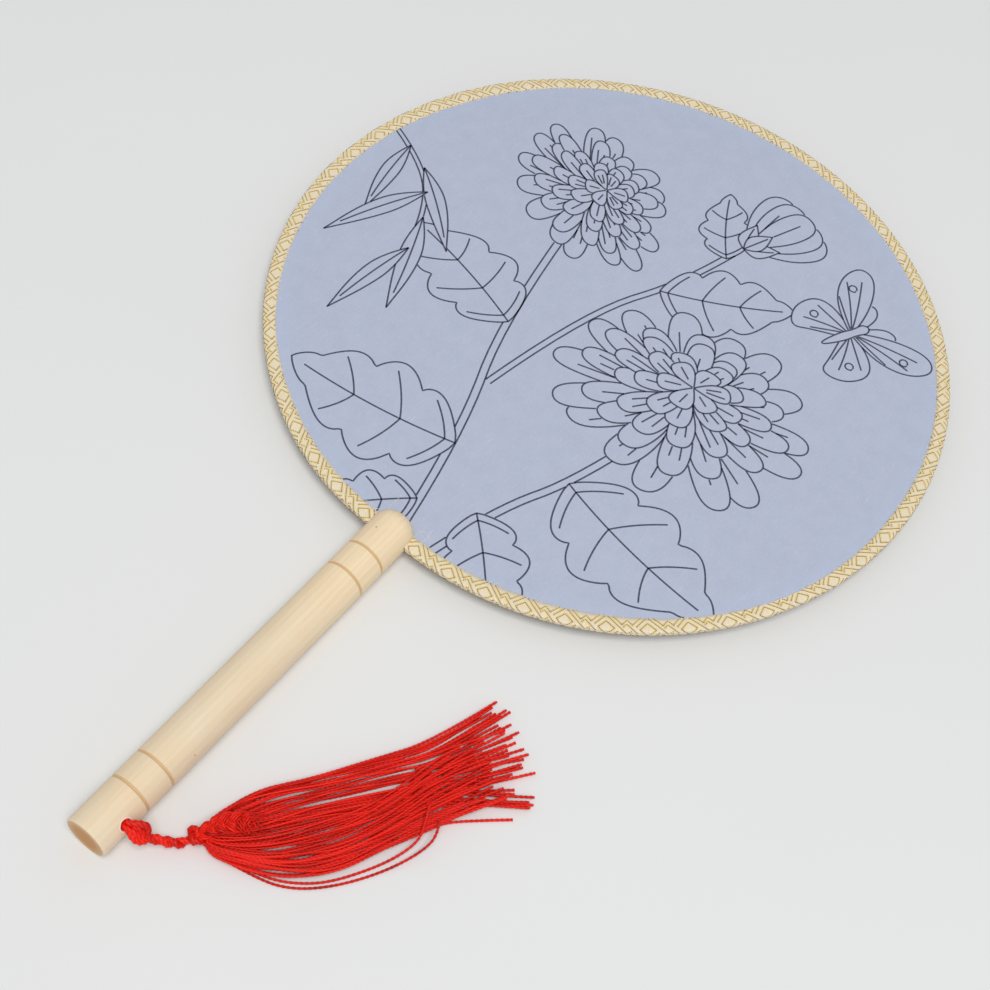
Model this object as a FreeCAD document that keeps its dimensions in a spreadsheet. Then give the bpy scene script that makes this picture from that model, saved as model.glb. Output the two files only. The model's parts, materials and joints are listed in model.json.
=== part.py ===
"""Round hand fan: a turned handle, a hooped paper face edged with ribbon, and a thread tassel on a cord.

Frame: +Y runs along the handle from its butt to the face, +Z is up, and the fan lies on z = 0.
The origin is under the middle of the fan's length and of the face's width.
"""
import FreeCAD, Part
import os
import Sketcher
from FreeCAD import Placement, Rotation, Vector
from math import cos, pi, radians, sin, sqrt, tan

doc = FreeCAD.newDocument("round_fan")

# Driving sizes in millimetres and degrees, one row each: alias, value, meaning
SIZES = (
    ("face_diameter", 230.0, "face over the ribbon"),
    ("ribbon_lip", 4.4, "width of the ribbon on each side of the face"),
    ("ribbon_thickness", 0.3, "ribbon cloth"),
    ("hoop_width", 2.4, "hoop strip, along the radius"),
    ("hoop_thickness", 1.2, "hoop strip, along Z"),
    ("sheet_thickness", 0.2, "each face paper"),
    ("seam_gap", 0.6, "between the ends of the hoop and of the ribbon"),
    ("end_dip", 2.6, "how far the rim is drawn in where its ends meet at the seam"),
    ("left_turn", 30.0, "from the seam to where the rim's left end starts to draw in"),
    ("right_turn", 46.0, "from the seam to where the rim's right end starts to draw in"),
    ("lean_angle", 2.28, "how far the face leans off the handle's line"),
    ("grip_length", 124.0, "handle from its butt to the face's full round"),
    ("seat_depth", 10.4, "from the face's full round to the handle's top"),
    ("handle_diameter", 14.0, "turned handle"),
    ("dome_radius", 5.6, "rounding of the handle's top edge"),
    ("butt_radius", 0.8, "rounding of the handle's butt edge"),
    ("groove_radius", 0.55, "cutter of the turned grooves"),
    ("groove_depth", 0.35, "turned grooves"),
    ("low_groove", 16.8, "butt to the first groove"),
    ("high_groove", 8.0, "rim to the last groove"),
    ("groove_pitch", 9.75, "between the two grooves of a pair"),
    ("slot_clearance", 0.05, "glue line round the face in its slot"),
    ("cut_overrun", 2.0, "cuts run this far past the surface"),
    ("hole_diameter", 3.8, "cross hole of the tassel cord"),
    ("hole_offset", 9.0, "butt to the cross hole"),
    ("hole_tilt", 23.0, "cross hole's mouth, up from the face's plane"),
    ("recess_diameter", 5.6, "recess of the stopper knot"),
    ("recess_seat", 2.6, "handle's axis to the floor of the recess"),
    ("knot_clearance", 0.25, "round the stopper knot"),
    ("strand_diameter", 1.7, "one of the cord's two strands"),
    ("strand_gap", 0.1, "between the two strands in the hole"),
    ("stub_length", 0.3, "strands standing out of the hole's mouth"),
    ("swing_standoff", 1.5, "handle's side to the line the tassel swings on"),
    ("cord_diameter", 2.9, "the two strands twisted together"),
    ("tail_diameter", 2.6, "loose end of the cord past the knot"),
    ("head_diameter", 5.0, "knot at the tassel's head"),
    ("neck_radius", 5.8, "gathered threads, from the tie outwards"),
    ("neck_gap", 0.2, "gathered threads to the locks"),
    ("neck_height", 4.5, "gathered threads at their outer edge"),
    ("tie_height", 3.4, "gathered threads at the tie"),
    ("table_gap", 0.15, "threads clear of the surface they lie on"),
    ("lock_length", 85.0, "tassel locks, from the tie to the shortest tips"),
    ("tip_bulge", 10.0, "how much longer the middle locks are"),
    ("root_height", 1.4, "a lock at the tie"),
    ("belly_height", 2.2, "a lock at mid-length"),
    ("tip_height", 1.2, "a lock at its cut end"),
    ("layer_rise", 2.5, "upper layer of locks above the lower one"),
)

sheet = doc.addObject("Spreadsheet::Sheet", "Sizes")
for row, (alias, amount, meaning) in enumerate(SIZES, start=1):
    sheet.set(f"A{row}", meaning)
    sheet.set(f"B{row}", str(amount))
    sheet.setAlias(f"B{row}", alias)
doc.recompute()


def size(alias):
    return float(sheet.get(alias))


def value(expression):
    result = sheet.evalExpression(expression)
    return float(getattr(result, "Value", result))


# Places that several pieces share, as expressions on the sheet
FACE_RADIUS = "(Sizes.face_diameter / 2)"
HANDLE_RADIUS = "(Sizes.handle_diameter / 2)"
AXIS_X = f"(-{FACE_RADIUS} * sin(Sizes.lean_angle))"
FACE_REACH = f"({FACE_RADIUS} * cos(Sizes.lean_angle))"
BUTT_Y = f"(-(Sizes.grip_length + {FACE_REACH} + {FACE_RADIUS}) / 2)"
FACE_Y = f"({BUTT_Y} + Sizes.grip_length + {FACE_REACH})"
HOOP_TOP = "(Sizes.hoop_thickness / 2)"
SHEET_TOP = f"({HOOP_TOP} + Sizes.sheet_thickness)"
RIBBON_TOP = f"({SHEET_TOP} + Sizes.ribbon_thickness)"
SEAM_REACH = f"({FACE_RADIUS} - Sizes.end_dip)"
HALF_STRANDS = "((Sizes.strand_diameter + Sizes.strand_gap) / 2)"


def end_tightening(turn):
    """Expression for how much smaller than the face's radius that of an end is, so that it reaches the seam."""
    return f"(({FACE_RADIUS}^2 - {SEAM_REACH}^2) / 2 / ({FACE_RADIUS} - {SEAM_REACH} * cos({turn})))"


def end_reach(turn):
    """Expression for how far that end reaches from the face's centre towards the handle's butt."""
    return f"({FACE_RADIUS} - {end_tightening(turn)} * (1 - cos({turn})))"


LEFT_TURN = "Sizes.left_turn"
RIGHT_TURN = "Sizes.right_turn"
RIM_REACH = f"max({end_reach(LEFT_TURN)}; {end_reach(RIGHT_TURN)})"


def new_body(label):
    body = doc.addObject("PartDesign::Body", label)
    body.Label = label
    return body


def origin_plane(body, role):
    return next(item for item in body.Origin.OriginFeatures if item.Role == role)


def new_sketch(body, name, role):
    sketch = body.newObject("Sketcher::SketchObject", name)
    sketch.AttachmentSupport = [(origin_plane(body, role), "")]
    sketch.MapMode = "FlatFace"
    return sketch


def pin_point(sketch, item, end, across, along):
    """Hold one point of a sketch at two expressions, measured from the sketch's origin."""
    for kind, expression in (("DistanceX", across), ("DistanceY", along)):
        index = sketch.addConstraint(Sketcher.Constraint(kind, -1, 1, item, end, value(expression)))
        sketch.setExpression(f"Constraints[{index}]", expression)


def outline(sketch, corners):
    """Closed polygon whose corners are pairs of expressions."""
    places = [Vector(value(across), value(along), 0) for across, along in corners]
    count = len(corners)
    for index in range(count):
        sketch.addGeometry(Part.LineSegment(places[index], places[(index + 1) % count]), False)
    for index in range(count):
        sketch.addConstraint(Sketcher.Constraint("Coincident", index, 2, (index + 1) % count, 1))
    for index, (across, along) in enumerate(corners):
        pin_point(sketch, index, 1, across, along)


def circle(sketch, across, along, radius):
    """Circle whose centre and radius are expressions."""
    centre = Vector(value(across), value(along), 0)
    item = sketch.addGeometry(Part.Circle(centre, Vector(0, 0, 1), value(radius)), False)
    pin_point(sketch, item, 3, across, along)
    index = sketch.addConstraint(Sketcher.Constraint("Radius", item, value(radius)))
    sketch.setExpression(f"Constraints[{index}]", radius)


def turn(body, name, sketch, kind, angle):
    """Revolve a sketch about its own vertical axis."""
    feature = body.newObject(f"PartDesign::{kind}", name)
    feature.Profile = sketch
    feature.ReferenceAxis = (sketch, ["V_Axis"])
    feature.setExpression("Angle", angle)
    return feature


def cut(body, name, sketch, midplane):
    """Pocket right through the body: both ways from the sketch, or only against its normal."""
    before = body.Shape.Volume
    feature = body.newObject("PartDesign::Pocket", name)
    feature.Profile = sketch
    feature.Type = "ThroughAll"
    feature.Midplane = midplane
    doc.recompute()
    assert body.Shape.Volume < before, name
    return feature


def ring_edge(shape, radius, height):
    """Name of the round edge of that radius at that height along Y."""
    tolerance = shape.getTolerance(1)
    for index, edge in enumerate(shape.Edges, start=1):
        rim = edge.Curve
        if isinstance(rim, Part.Circle) and abs(rim.Radius - radius) < tolerance:
            if abs(rim.Center.y - height) < tolerance:
                return f"Edge{index}"
    raise ValueError("no such edge")


def round_edge(body, name, base, height, radius):
    """Fillet the round edge of the handle at that height."""
    feature = body.newObject("PartDesign::Fillet", name)
    feature.Base = (base, [ring_edge(base.Shape, value(HANDLE_RADIUS), value(height))])
    feature.setExpression("Radius", radius)
    doc.recompute()
    return feature


def place(piece, across, along, up):
    """Bind a piece's place to three expressions."""
    for axis, expression in zip("xyz", (across, along, up)):
        piece.setExpression(f"Placement.Base.{axis}", expression)


# Handle: a turned hardwood rod with a domed top, two pairs of grooves, a sawn slot and a drilled cross hole.
# It is drawn from its butt at y = 0 and moved so that its lowest line touches the surface.
handle = new_body("handle")
HANDLE_LENGTH = "(Sizes.grip_length + Sizes.seat_depth)"
rod_sketch = new_sketch(handle, "rod_outline", "XY_Plane")
outline(rod_sketch, (
    ("0", "0"),
    (HANDLE_RADIUS, "0"),
    (HANDLE_RADIUS, HANDLE_LENGTH),
    ("0", HANDLE_LENGTH),
))
rod = turn(handle, "rod", rod_sketch, "Revolution", "360")
doc.recompute()
butt_round = round_edge(handle, "butt_round", rod, "0", "Sizes.butt_radius")
round_edge(handle, "dome", butt_round, HANDLE_LENGTH, "Sizes.dome_radius")

GROOVE_PLACES = (
    "Sizes.low_groove",
    "(Sizes.low_groove + Sizes.groove_pitch)",
    "(Sizes.grip_length - Sizes.high_groove - Sizes.groove_pitch)",
    "(Sizes.grip_length - Sizes.high_groove)",
)
for number, groove_y in enumerate(GROOVE_PLACES, start=1):
    groove_sketch = new_sketch(handle, f"groove_outline_{number}", "XY_Plane")
    groove_x = f"({HANDLE_RADIUS} + Sizes.groove_radius - Sizes.groove_depth)"
    circle(groove_sketch, groove_x, groove_y, "Sizes.groove_radius")
    before = handle.Shape.Volume
    turn(handle, f"groove_{number}", groove_sketch, "Groove", "360")
    doc.recompute()
    assert handle.Shape.Volume < before, groove_y

SLOT_HALF = f"({RIBBON_TOP} + Sizes.slot_clearance)"
SLOT_FLOOR = f"(Sizes.grip_length + {FACE_REACH} - {RIM_REACH} - Sizes.slot_clearance)"
SLOT_END = f"({HANDLE_LENGTH} + Sizes.cut_overrun)"
slot_sketch = new_sketch(handle, "slot_outline", "YZ_Plane")
outline(slot_sketch, (
    (SLOT_FLOOR, f"-{SLOT_HALF}"),
    (SLOT_END, f"-{SLOT_HALF}"),
    (SLOT_END, SLOT_HALF),
    (SLOT_FLOOR, SLOT_HALF),
))
cut(handle, "slot", slot_sketch, midplane=True)


def tilted_sketch(name, seat):
    """Sketch square to the cross hole, at a distance from the handle's axis on the far side."""
    sketch = new_sketch(handle, name, "YZ_Plane")
    sketch.AttachmentOffset = Placement(Vector(0, 0, 0), Rotation(Vector(-1, 0, 0), size("hole_tilt")))
    sketch.setExpression("AttachmentOffset.Rotation.Angle", "Sizes.hole_tilt")
    sketch.setExpression("AttachmentOffset.Base.y", f"-{seat} * sin(Sizes.hole_tilt)")
    sketch.setExpression("AttachmentOffset.Base.z", f"-{seat} * cos(Sizes.hole_tilt)")
    return sketch


hole_sketch = tilted_sketch("hole_outline", "0")
circle(hole_sketch, "Sizes.hole_offset", "0", "Sizes.hole_diameter / 2")
cut(handle, "cross_hole", hole_sketch, midplane=True)
recess_sketch = tilted_sketch("recess_outline", "Sizes.recess_seat")
circle(recess_sketch, "Sizes.hole_offset", "0", "Sizes.recess_diameter / 2")
cut(handle, "knot_recess", recess_sketch, midplane=False)
place(handle, AXIS_X, BUTT_Y, HANDLE_RADIUS)

# Face: a hoop strip, a paper on each side of it and a ribbon folded over the edge. Seen from above, all follow
# one line: a round with two ends that bend in a little tighter and meet at a seam inside the handle's slot.


def rim_line(inset, half_seam):
    """Arcs of that line at an inset, from the seam's left side round to its right, and the two seam points."""
    face_radius = value(FACE_RADIUS)
    ends = []
    joints = []
    seams = []
    for side, turn in ((-1, LEFT_TURN), (1, RIGHT_TURN)):
        angle = radians(value(turn))
        outward = Vector(side * sin(angle), -cos(angle), 0)
        centre = outward * value(end_tightening(turn))
        radius = face_radius - centre.Length - inset
        across = side * half_seam - centre.x
        seam = Vector(side * half_seam, centre.y - sqrt(radius ** 2 - across ** 2), 0)
        joint = outward * (face_radius - inset)
        middle = centre + (seam + joint - centre * 2).normalize() * radius
        ends.append(Part.Arc(seam, middle, joint).toShape())
        joints.append(joint)
        seams.append(seam)
    crown = Vector(0, face_radius - inset, 0)
    return [*ends, Part.Arc(joints[0], crown, joints[1]).toShape()], seams


def rim_slab(seam, base, top, *insets):
    """Solid between two heights: the band between two insets of the line, or all within one inset."""
    edges = []
    seams = []
    for inset in insets:
        arcs, points = rim_line(inset, seam / 2)
        edges += arcs
        seams.append(points)
    for start, end in zip(*seams) if len(seams) > 1 else seams:
        edges.append(Part.LineSegment(start, end).toShape())
    face = Part.Face(Part.Wire(Part.__sortEdges__(edges)))
    face.translate(Vector(0, 0, base))
    return face.extrude(Vector(0, 0, top - base))


def face_piece(label, shape):
    piece = doc.addObject("Part::Feature", label)
    piece.Label = label
    piece.Shape = shape
    place(piece, "0", FACE_Y, HANDLE_RADIUS)
    return piece


hoop_top = value(HOOP_TOP)
sheet_top = value(SHEET_TOP)
ribbon_top = value(RIBBON_TOP)
seam_gap = size("seam_gap")
ribbon_inside = size("ribbon_thickness")
ribbon_lip = size("ribbon_lip")
hoop_inside = ribbon_inside + size("hoop_width")
hoop = face_piece("hoop", rim_slab(seam_gap, -hoop_top, hoop_top, ribbon_inside, hoop_inside))
front_sheet = face_piece("front_sheet", rim_slab(seam_gap, hoop_top, sheet_top, ribbon_inside))
back_sheet = face_piece("back_sheet", rim_slab(seam_gap, -sheet_top, -hoop_top, ribbon_inside))
papers = [front_sheet, back_sheet]
ribbon_block = rim_slab(seam_gap, -ribbon_top, ribbon_top, 0, ribbon_lip)
ribbon_fold = rim_slab(seam_gap / 2, -sheet_top, sheet_top, ribbon_inside, ribbon_lip + size("cut_overrun"))
edge_trim = face_piece("edge_trim", ribbon_block.cut(ribbon_fold))

# Cord in the handle: two strands side by side in the cross hole, knotted in a recess on the far side.
HOLE_Y = f"({BUTT_Y} + Sizes.hole_offset)"
strand_pair = []
for number, offset in enumerate((HALF_STRANDS, f"-{HALF_STRANDS}"), start=1):
    strand = doc.addObject("Part::Cylinder", f"hole_strand_{number}")
    strand.setExpression("Radius", "Sizes.strand_diameter / 2")
    strand.setExpression("Height", f"Sizes.recess_seat + {HANDLE_RADIUS} + Sizes.stub_length")
    strand.Placement.Rotation = Rotation(Vector(0, 1, 0), size("hole_tilt"))
    strand.setExpression("Placement.Rotation.Angle", "90 - Sizes.hole_tilt")
    place(
        strand,
        f"{AXIS_X} - Sizes.recess_seat * cos(Sizes.hole_tilt) - {offset} * sin(Sizes.hole_tilt)",
        HOLE_Y,
        f"{HANDLE_RADIUS} - Sizes.recess_seat * sin(Sizes.hole_tilt) + {offset} * cos(Sizes.hole_tilt)",
    )
    strand_pair.append(strand)
hole_strands = doc.addObject("Part::Compound", "hole_strands")
hole_strands.Label = "hole_strands"
hole_strands.Links = strand_pair

stopper_knot = doc.addObject("Part::Sphere", "stopper_knot")
stopper_knot.Label = "stopper_knot"
stopper_knot.setExpression("Radius", "Sizes.recess_diameter / 2 - Sizes.knot_clearance")
KNOT_SEAT = "(Sizes.recess_seat + Sizes.recess_diameter / 2)"
place(
    stopper_knot,
    f"{AXIS_X} - {KNOT_SEAT} * cos(Sizes.hole_tilt)",
    HOLE_Y,
    f"{HANDLE_RADIUS} - {KNOT_SEAT} * sin(Sizes.hole_tilt)",
)

# Tassel: places are measured from the upright line that it swings on, just outside the hole's mouth.
swing = Vector(
    value(f"{AXIS_X} + {HANDLE_RADIUS} + Sizes.swing_standoff"),
    value(HOLE_Y),
    0,
)
ARC_SHARE = 0.45

UPPER_STRAND = (
    (0, 0, 10.9), (0.7, 1.7, 11.0), (1.6, 2.9, 10.2), (2.9, 3.4, 8.7), (3.8, 3.4, 7.2), (4.4, 3.3, 5.9),
)
LOWER_STRAND = (
    (0, 0, 8.9), (1.2, -0.5, 8.4), (2.3, -0.2, 7.3), (3.0, 0.8, 6.3), (3.5, 1.7, 5.8), (4.2, 2.5, 5.4),
)
CORD = ((4.7, 3.0, 5.2), (6.4, 4.6, 4.3), (8.4, 5.9, 3.0), (9.8, 7.2, 2.2), (10.8, 8.9, 2.2))
TAIL = ((12.4, 11.6, 4.0), (14.0, 14.1, 6.3), (16.5, 17.7, 7.2), (19.1, 21.4, 7.1), (20.5, 24.9, 6.8))
HEAD = Vector(12.2, 11.3, 2.7)
TIE = Vector(14.5, 13.6, 0)


def tassel_piece(label, shape):
    piece = doc.addObject("Part::Feature", label)
    piece.Label = label
    piece.Shape = shape
    piece.Placement = Placement(swing, Rotation())
    return piece


def route(name, points):
    """Straight runs joined by arcs that take up most of the shorter run beside them."""
    corners = [Vector(*point) for point in points]
    edges = []
    radii = []
    start = corners[0]
    for before, corner, after in zip(corners, corners[1:], corners[2:]):
        inward = (before - corner).normalize()
        outward = (after - corner).normalize()
        run = min((before - corner).Length, (after - corner).Length)
        half_turn = (pi - inward.getAngle(outward)) / 2
        reach = ARC_SHARE * run
        radius = reach / tan(half_turn)
        middle = (inward + outward).normalize()
        apex = corner + middle * (radius / cos(half_turn) - radius)
        arc_start = corner + inward * reach
        arc_end = corner + outward * reach
        edges.append(Part.LineSegment(start, arc_start).toShape())
        edges.append(Part.Arc(arc_start, apex, arc_end).toShape())
        radii.append(radius)
        start = arc_end
    edges.append(Part.LineSegment(start, corners[-1]).toShape())
    print(name, "bend radii", [round(radius, 2) for radius in radii])
    return Part.Wire(edges)


def tube(name, points, diameter, ball=False):
    """Round tube along a route; the ball rounds its first end, which turns on a joint."""
    path = route(name, points)
    first = Vector(*points[0])
    first_run = Vector(*points[1]) - first
    ring = Part.Wire(Part.Circle(first, first_run, diameter / 2).toShape())
    solid = path.makePipeShell([ring], True, False)
    expected = pi * diameter ** 2 / 4 * path.Length
    print(name, "length", round(path.Length, 2), "volume share", round(solid.Volume / expected, 4))
    if ball:
        solid = solid.fuse(Part.makeSphere(diameter / 2, first)).removeSplitter()
    return solid


strand_width = size("strand_diameter")
mouth_strands = tassel_piece("mouth_strands", Part.makeCompound([
    tube("upper strand", UPPER_STRAND, strand_width, ball=True),
    tube("lower strand", LOWER_STRAND, strand_width, ball=True),
]))
tassel_cord = tassel_piece("tassel_cord", tube("cord", CORD, size("cord_diameter"), ball=True))
cord_tail = tassel_piece("cord_tail", tube("tail", TAIL, size("tail_diameter")))

# Head: the cord's own knot, round so that the tassel can turn on the end of the cord.
head_knot = doc.addObject("Part::Sphere", "head_knot")
head_knot.Label = "head_knot"
head_knot.setExpression("Radius", "Sizes.head_diameter / 2")
head_knot.Placement = Placement(swing + HEAD, Rotation())

# Threads: they leave the tie in a wide fan, bend forward and end in a ragged line of cut tips.
# Angles are measured from +Y towards +X.
ROOT_FAN = (-12.0, 102.0)
TIP_FAN = (23.5, 46.0)
TIP_HEADING = (19.0, 31.0)
LEAVE_SHARES = (0.21, 0.31)
ARRIVE_SHARES = (0.40, 0.50)
LOWER_COUNT = 7
UPPER_COUNT = 6
LOCK_FILL_SHARE = 0.84
UPPER_LENGTH_SHARE = 0.95
STATIONS = 5


def between(limits, share):
    low, high = limits
    return low + (high - low) * share


def heading(angle):
    return Vector(sin(radians(angle)), cos(radians(angle)), 0)


def lock_point(share, step, length_share):
    """Point and heading on a lock's centre line: share across the fan, step along the lock."""
    root_way = heading(between(ROOT_FAN, share))
    tip_way = heading(between(TIP_HEADING, share))
    length = (size("lock_length") + size("tip_bulge") * sin(pi * share)) * length_share
    root = TIE + root_way * (size("neck_radius") + size("neck_gap"))
    tip = TIE + heading(between(TIP_FAN, share)) * length
    leave = root + root_way * (length * between(LEAVE_SHARES, share))
    arrive = tip - tip_way * (length * between(ARRIVE_SHARES, share))
    curve = Part.BezierCurve()
    curve.setPoles([root, leave, arrive, tip])
    return curve.value(step), curve.tangent(step)[0]


def lock(share, spacing, length_share, base):
    """Flattened lock of threads: a loft through lens-shaped sections, thickest at mid-length."""
    belly_height = size("belly_height")
    rings = []
    for station in range(STATIONS):
        step = station / (STATIONS - 1)
        point, way = lock_point(share, step, length_share)
        side = Vector(way.y, -way.x, 0)
        room = []
        for neighbour in (share - spacing, share + spacing):
            beside = lock_point(neighbour, step, length_share)[0]
            room.append(abs((beside - point).dot(side)))
        half_width = LOCK_FILL_SHARE * min(room) / 2
        end_height = size("root_height") if 2 * step < 1 else size("tip_height")
        height = between((belly_height, end_height), abs(2 * step - 1))
        left = point - side * half_width + Vector(0, 0, base + height / 2)
        right = point + side * half_width + Vector(0, 0, base + height / 2)
        crown = point + Vector(0, 0, base + height)
        belly = point + Vector(0, 0, base)
        rings.append(Part.Wire([
            Part.Arc(left, crown, right).toShape(),
            Part.Arc(right, belly, left).toShape(),
        ]))
    return Part.makeLoft(rings, True, False)


locks = []
lock_spacing = 1 / (LOWER_COUNT - 1)
table_gap = size("table_gap")
upper_base = table_gap + size("layer_rise")
for index in range(LOWER_COUNT):
    solid = lock(index * lock_spacing, lock_spacing, 1.0, table_gap)
    locks.append(tassel_piece(f"tassel_lock_{len(locks) + 1}", solid))
for index in range(UPPER_COUNT):
    solid = lock((index + 0.5) * lock_spacing, lock_spacing, UPPER_LENGTH_SHARE, upper_base)
    locks.append(tassel_piece(f"tassel_lock_{len(locks) + 1}", solid))

# Gathered threads between the tie and the locks: a wedge of a low cone, as wide as the fan.
fan_start, fan_end = ROOT_FAN
neck_edge = TIE + heading(fan_start) * size("neck_radius")
neck_corners = [
    TIE + Vector(0, 0, table_gap),
    neck_edge + Vector(0, 0, table_gap),
    neck_edge + Vector(0, 0, size("neck_height")),
    TIE + Vector(0, 0, size("tie_height")),
]
neck_section = Part.Face(Part.makePolygon(neck_corners + neck_corners[:1]))
neck_wedge = neck_section.revolve(TIE, Vector(0, 0, -1), fan_end - fan_start)
tassel_neck = tassel_piece("tassel_neck", neck_wedge)

doc.recompute()
for item in doc.Objects:
    assert "Invalid" not in item.State and "Error" not in item.State, (item.Name, item.State)

pieces = [handle, hoop, edge_trim, stopper_knot, hole_strands]
pieces += [mouth_strands, tassel_cord, head_knot, cord_tail, tassel_neck]
pieces += papers + locks
os.makedirs("parts", exist_ok=True)
for piece in pieces:
    shape = piece.Shape
    assert not shape.isNull() and shape.isValid(), piece.Label
    print(piece.Label, len(shape.Solids), "solid", round(shape.Volume, 2), "mm3")
    shape.exportStep(f"parts/{piece.Label}.step")
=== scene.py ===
import json
import math
import random

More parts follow.
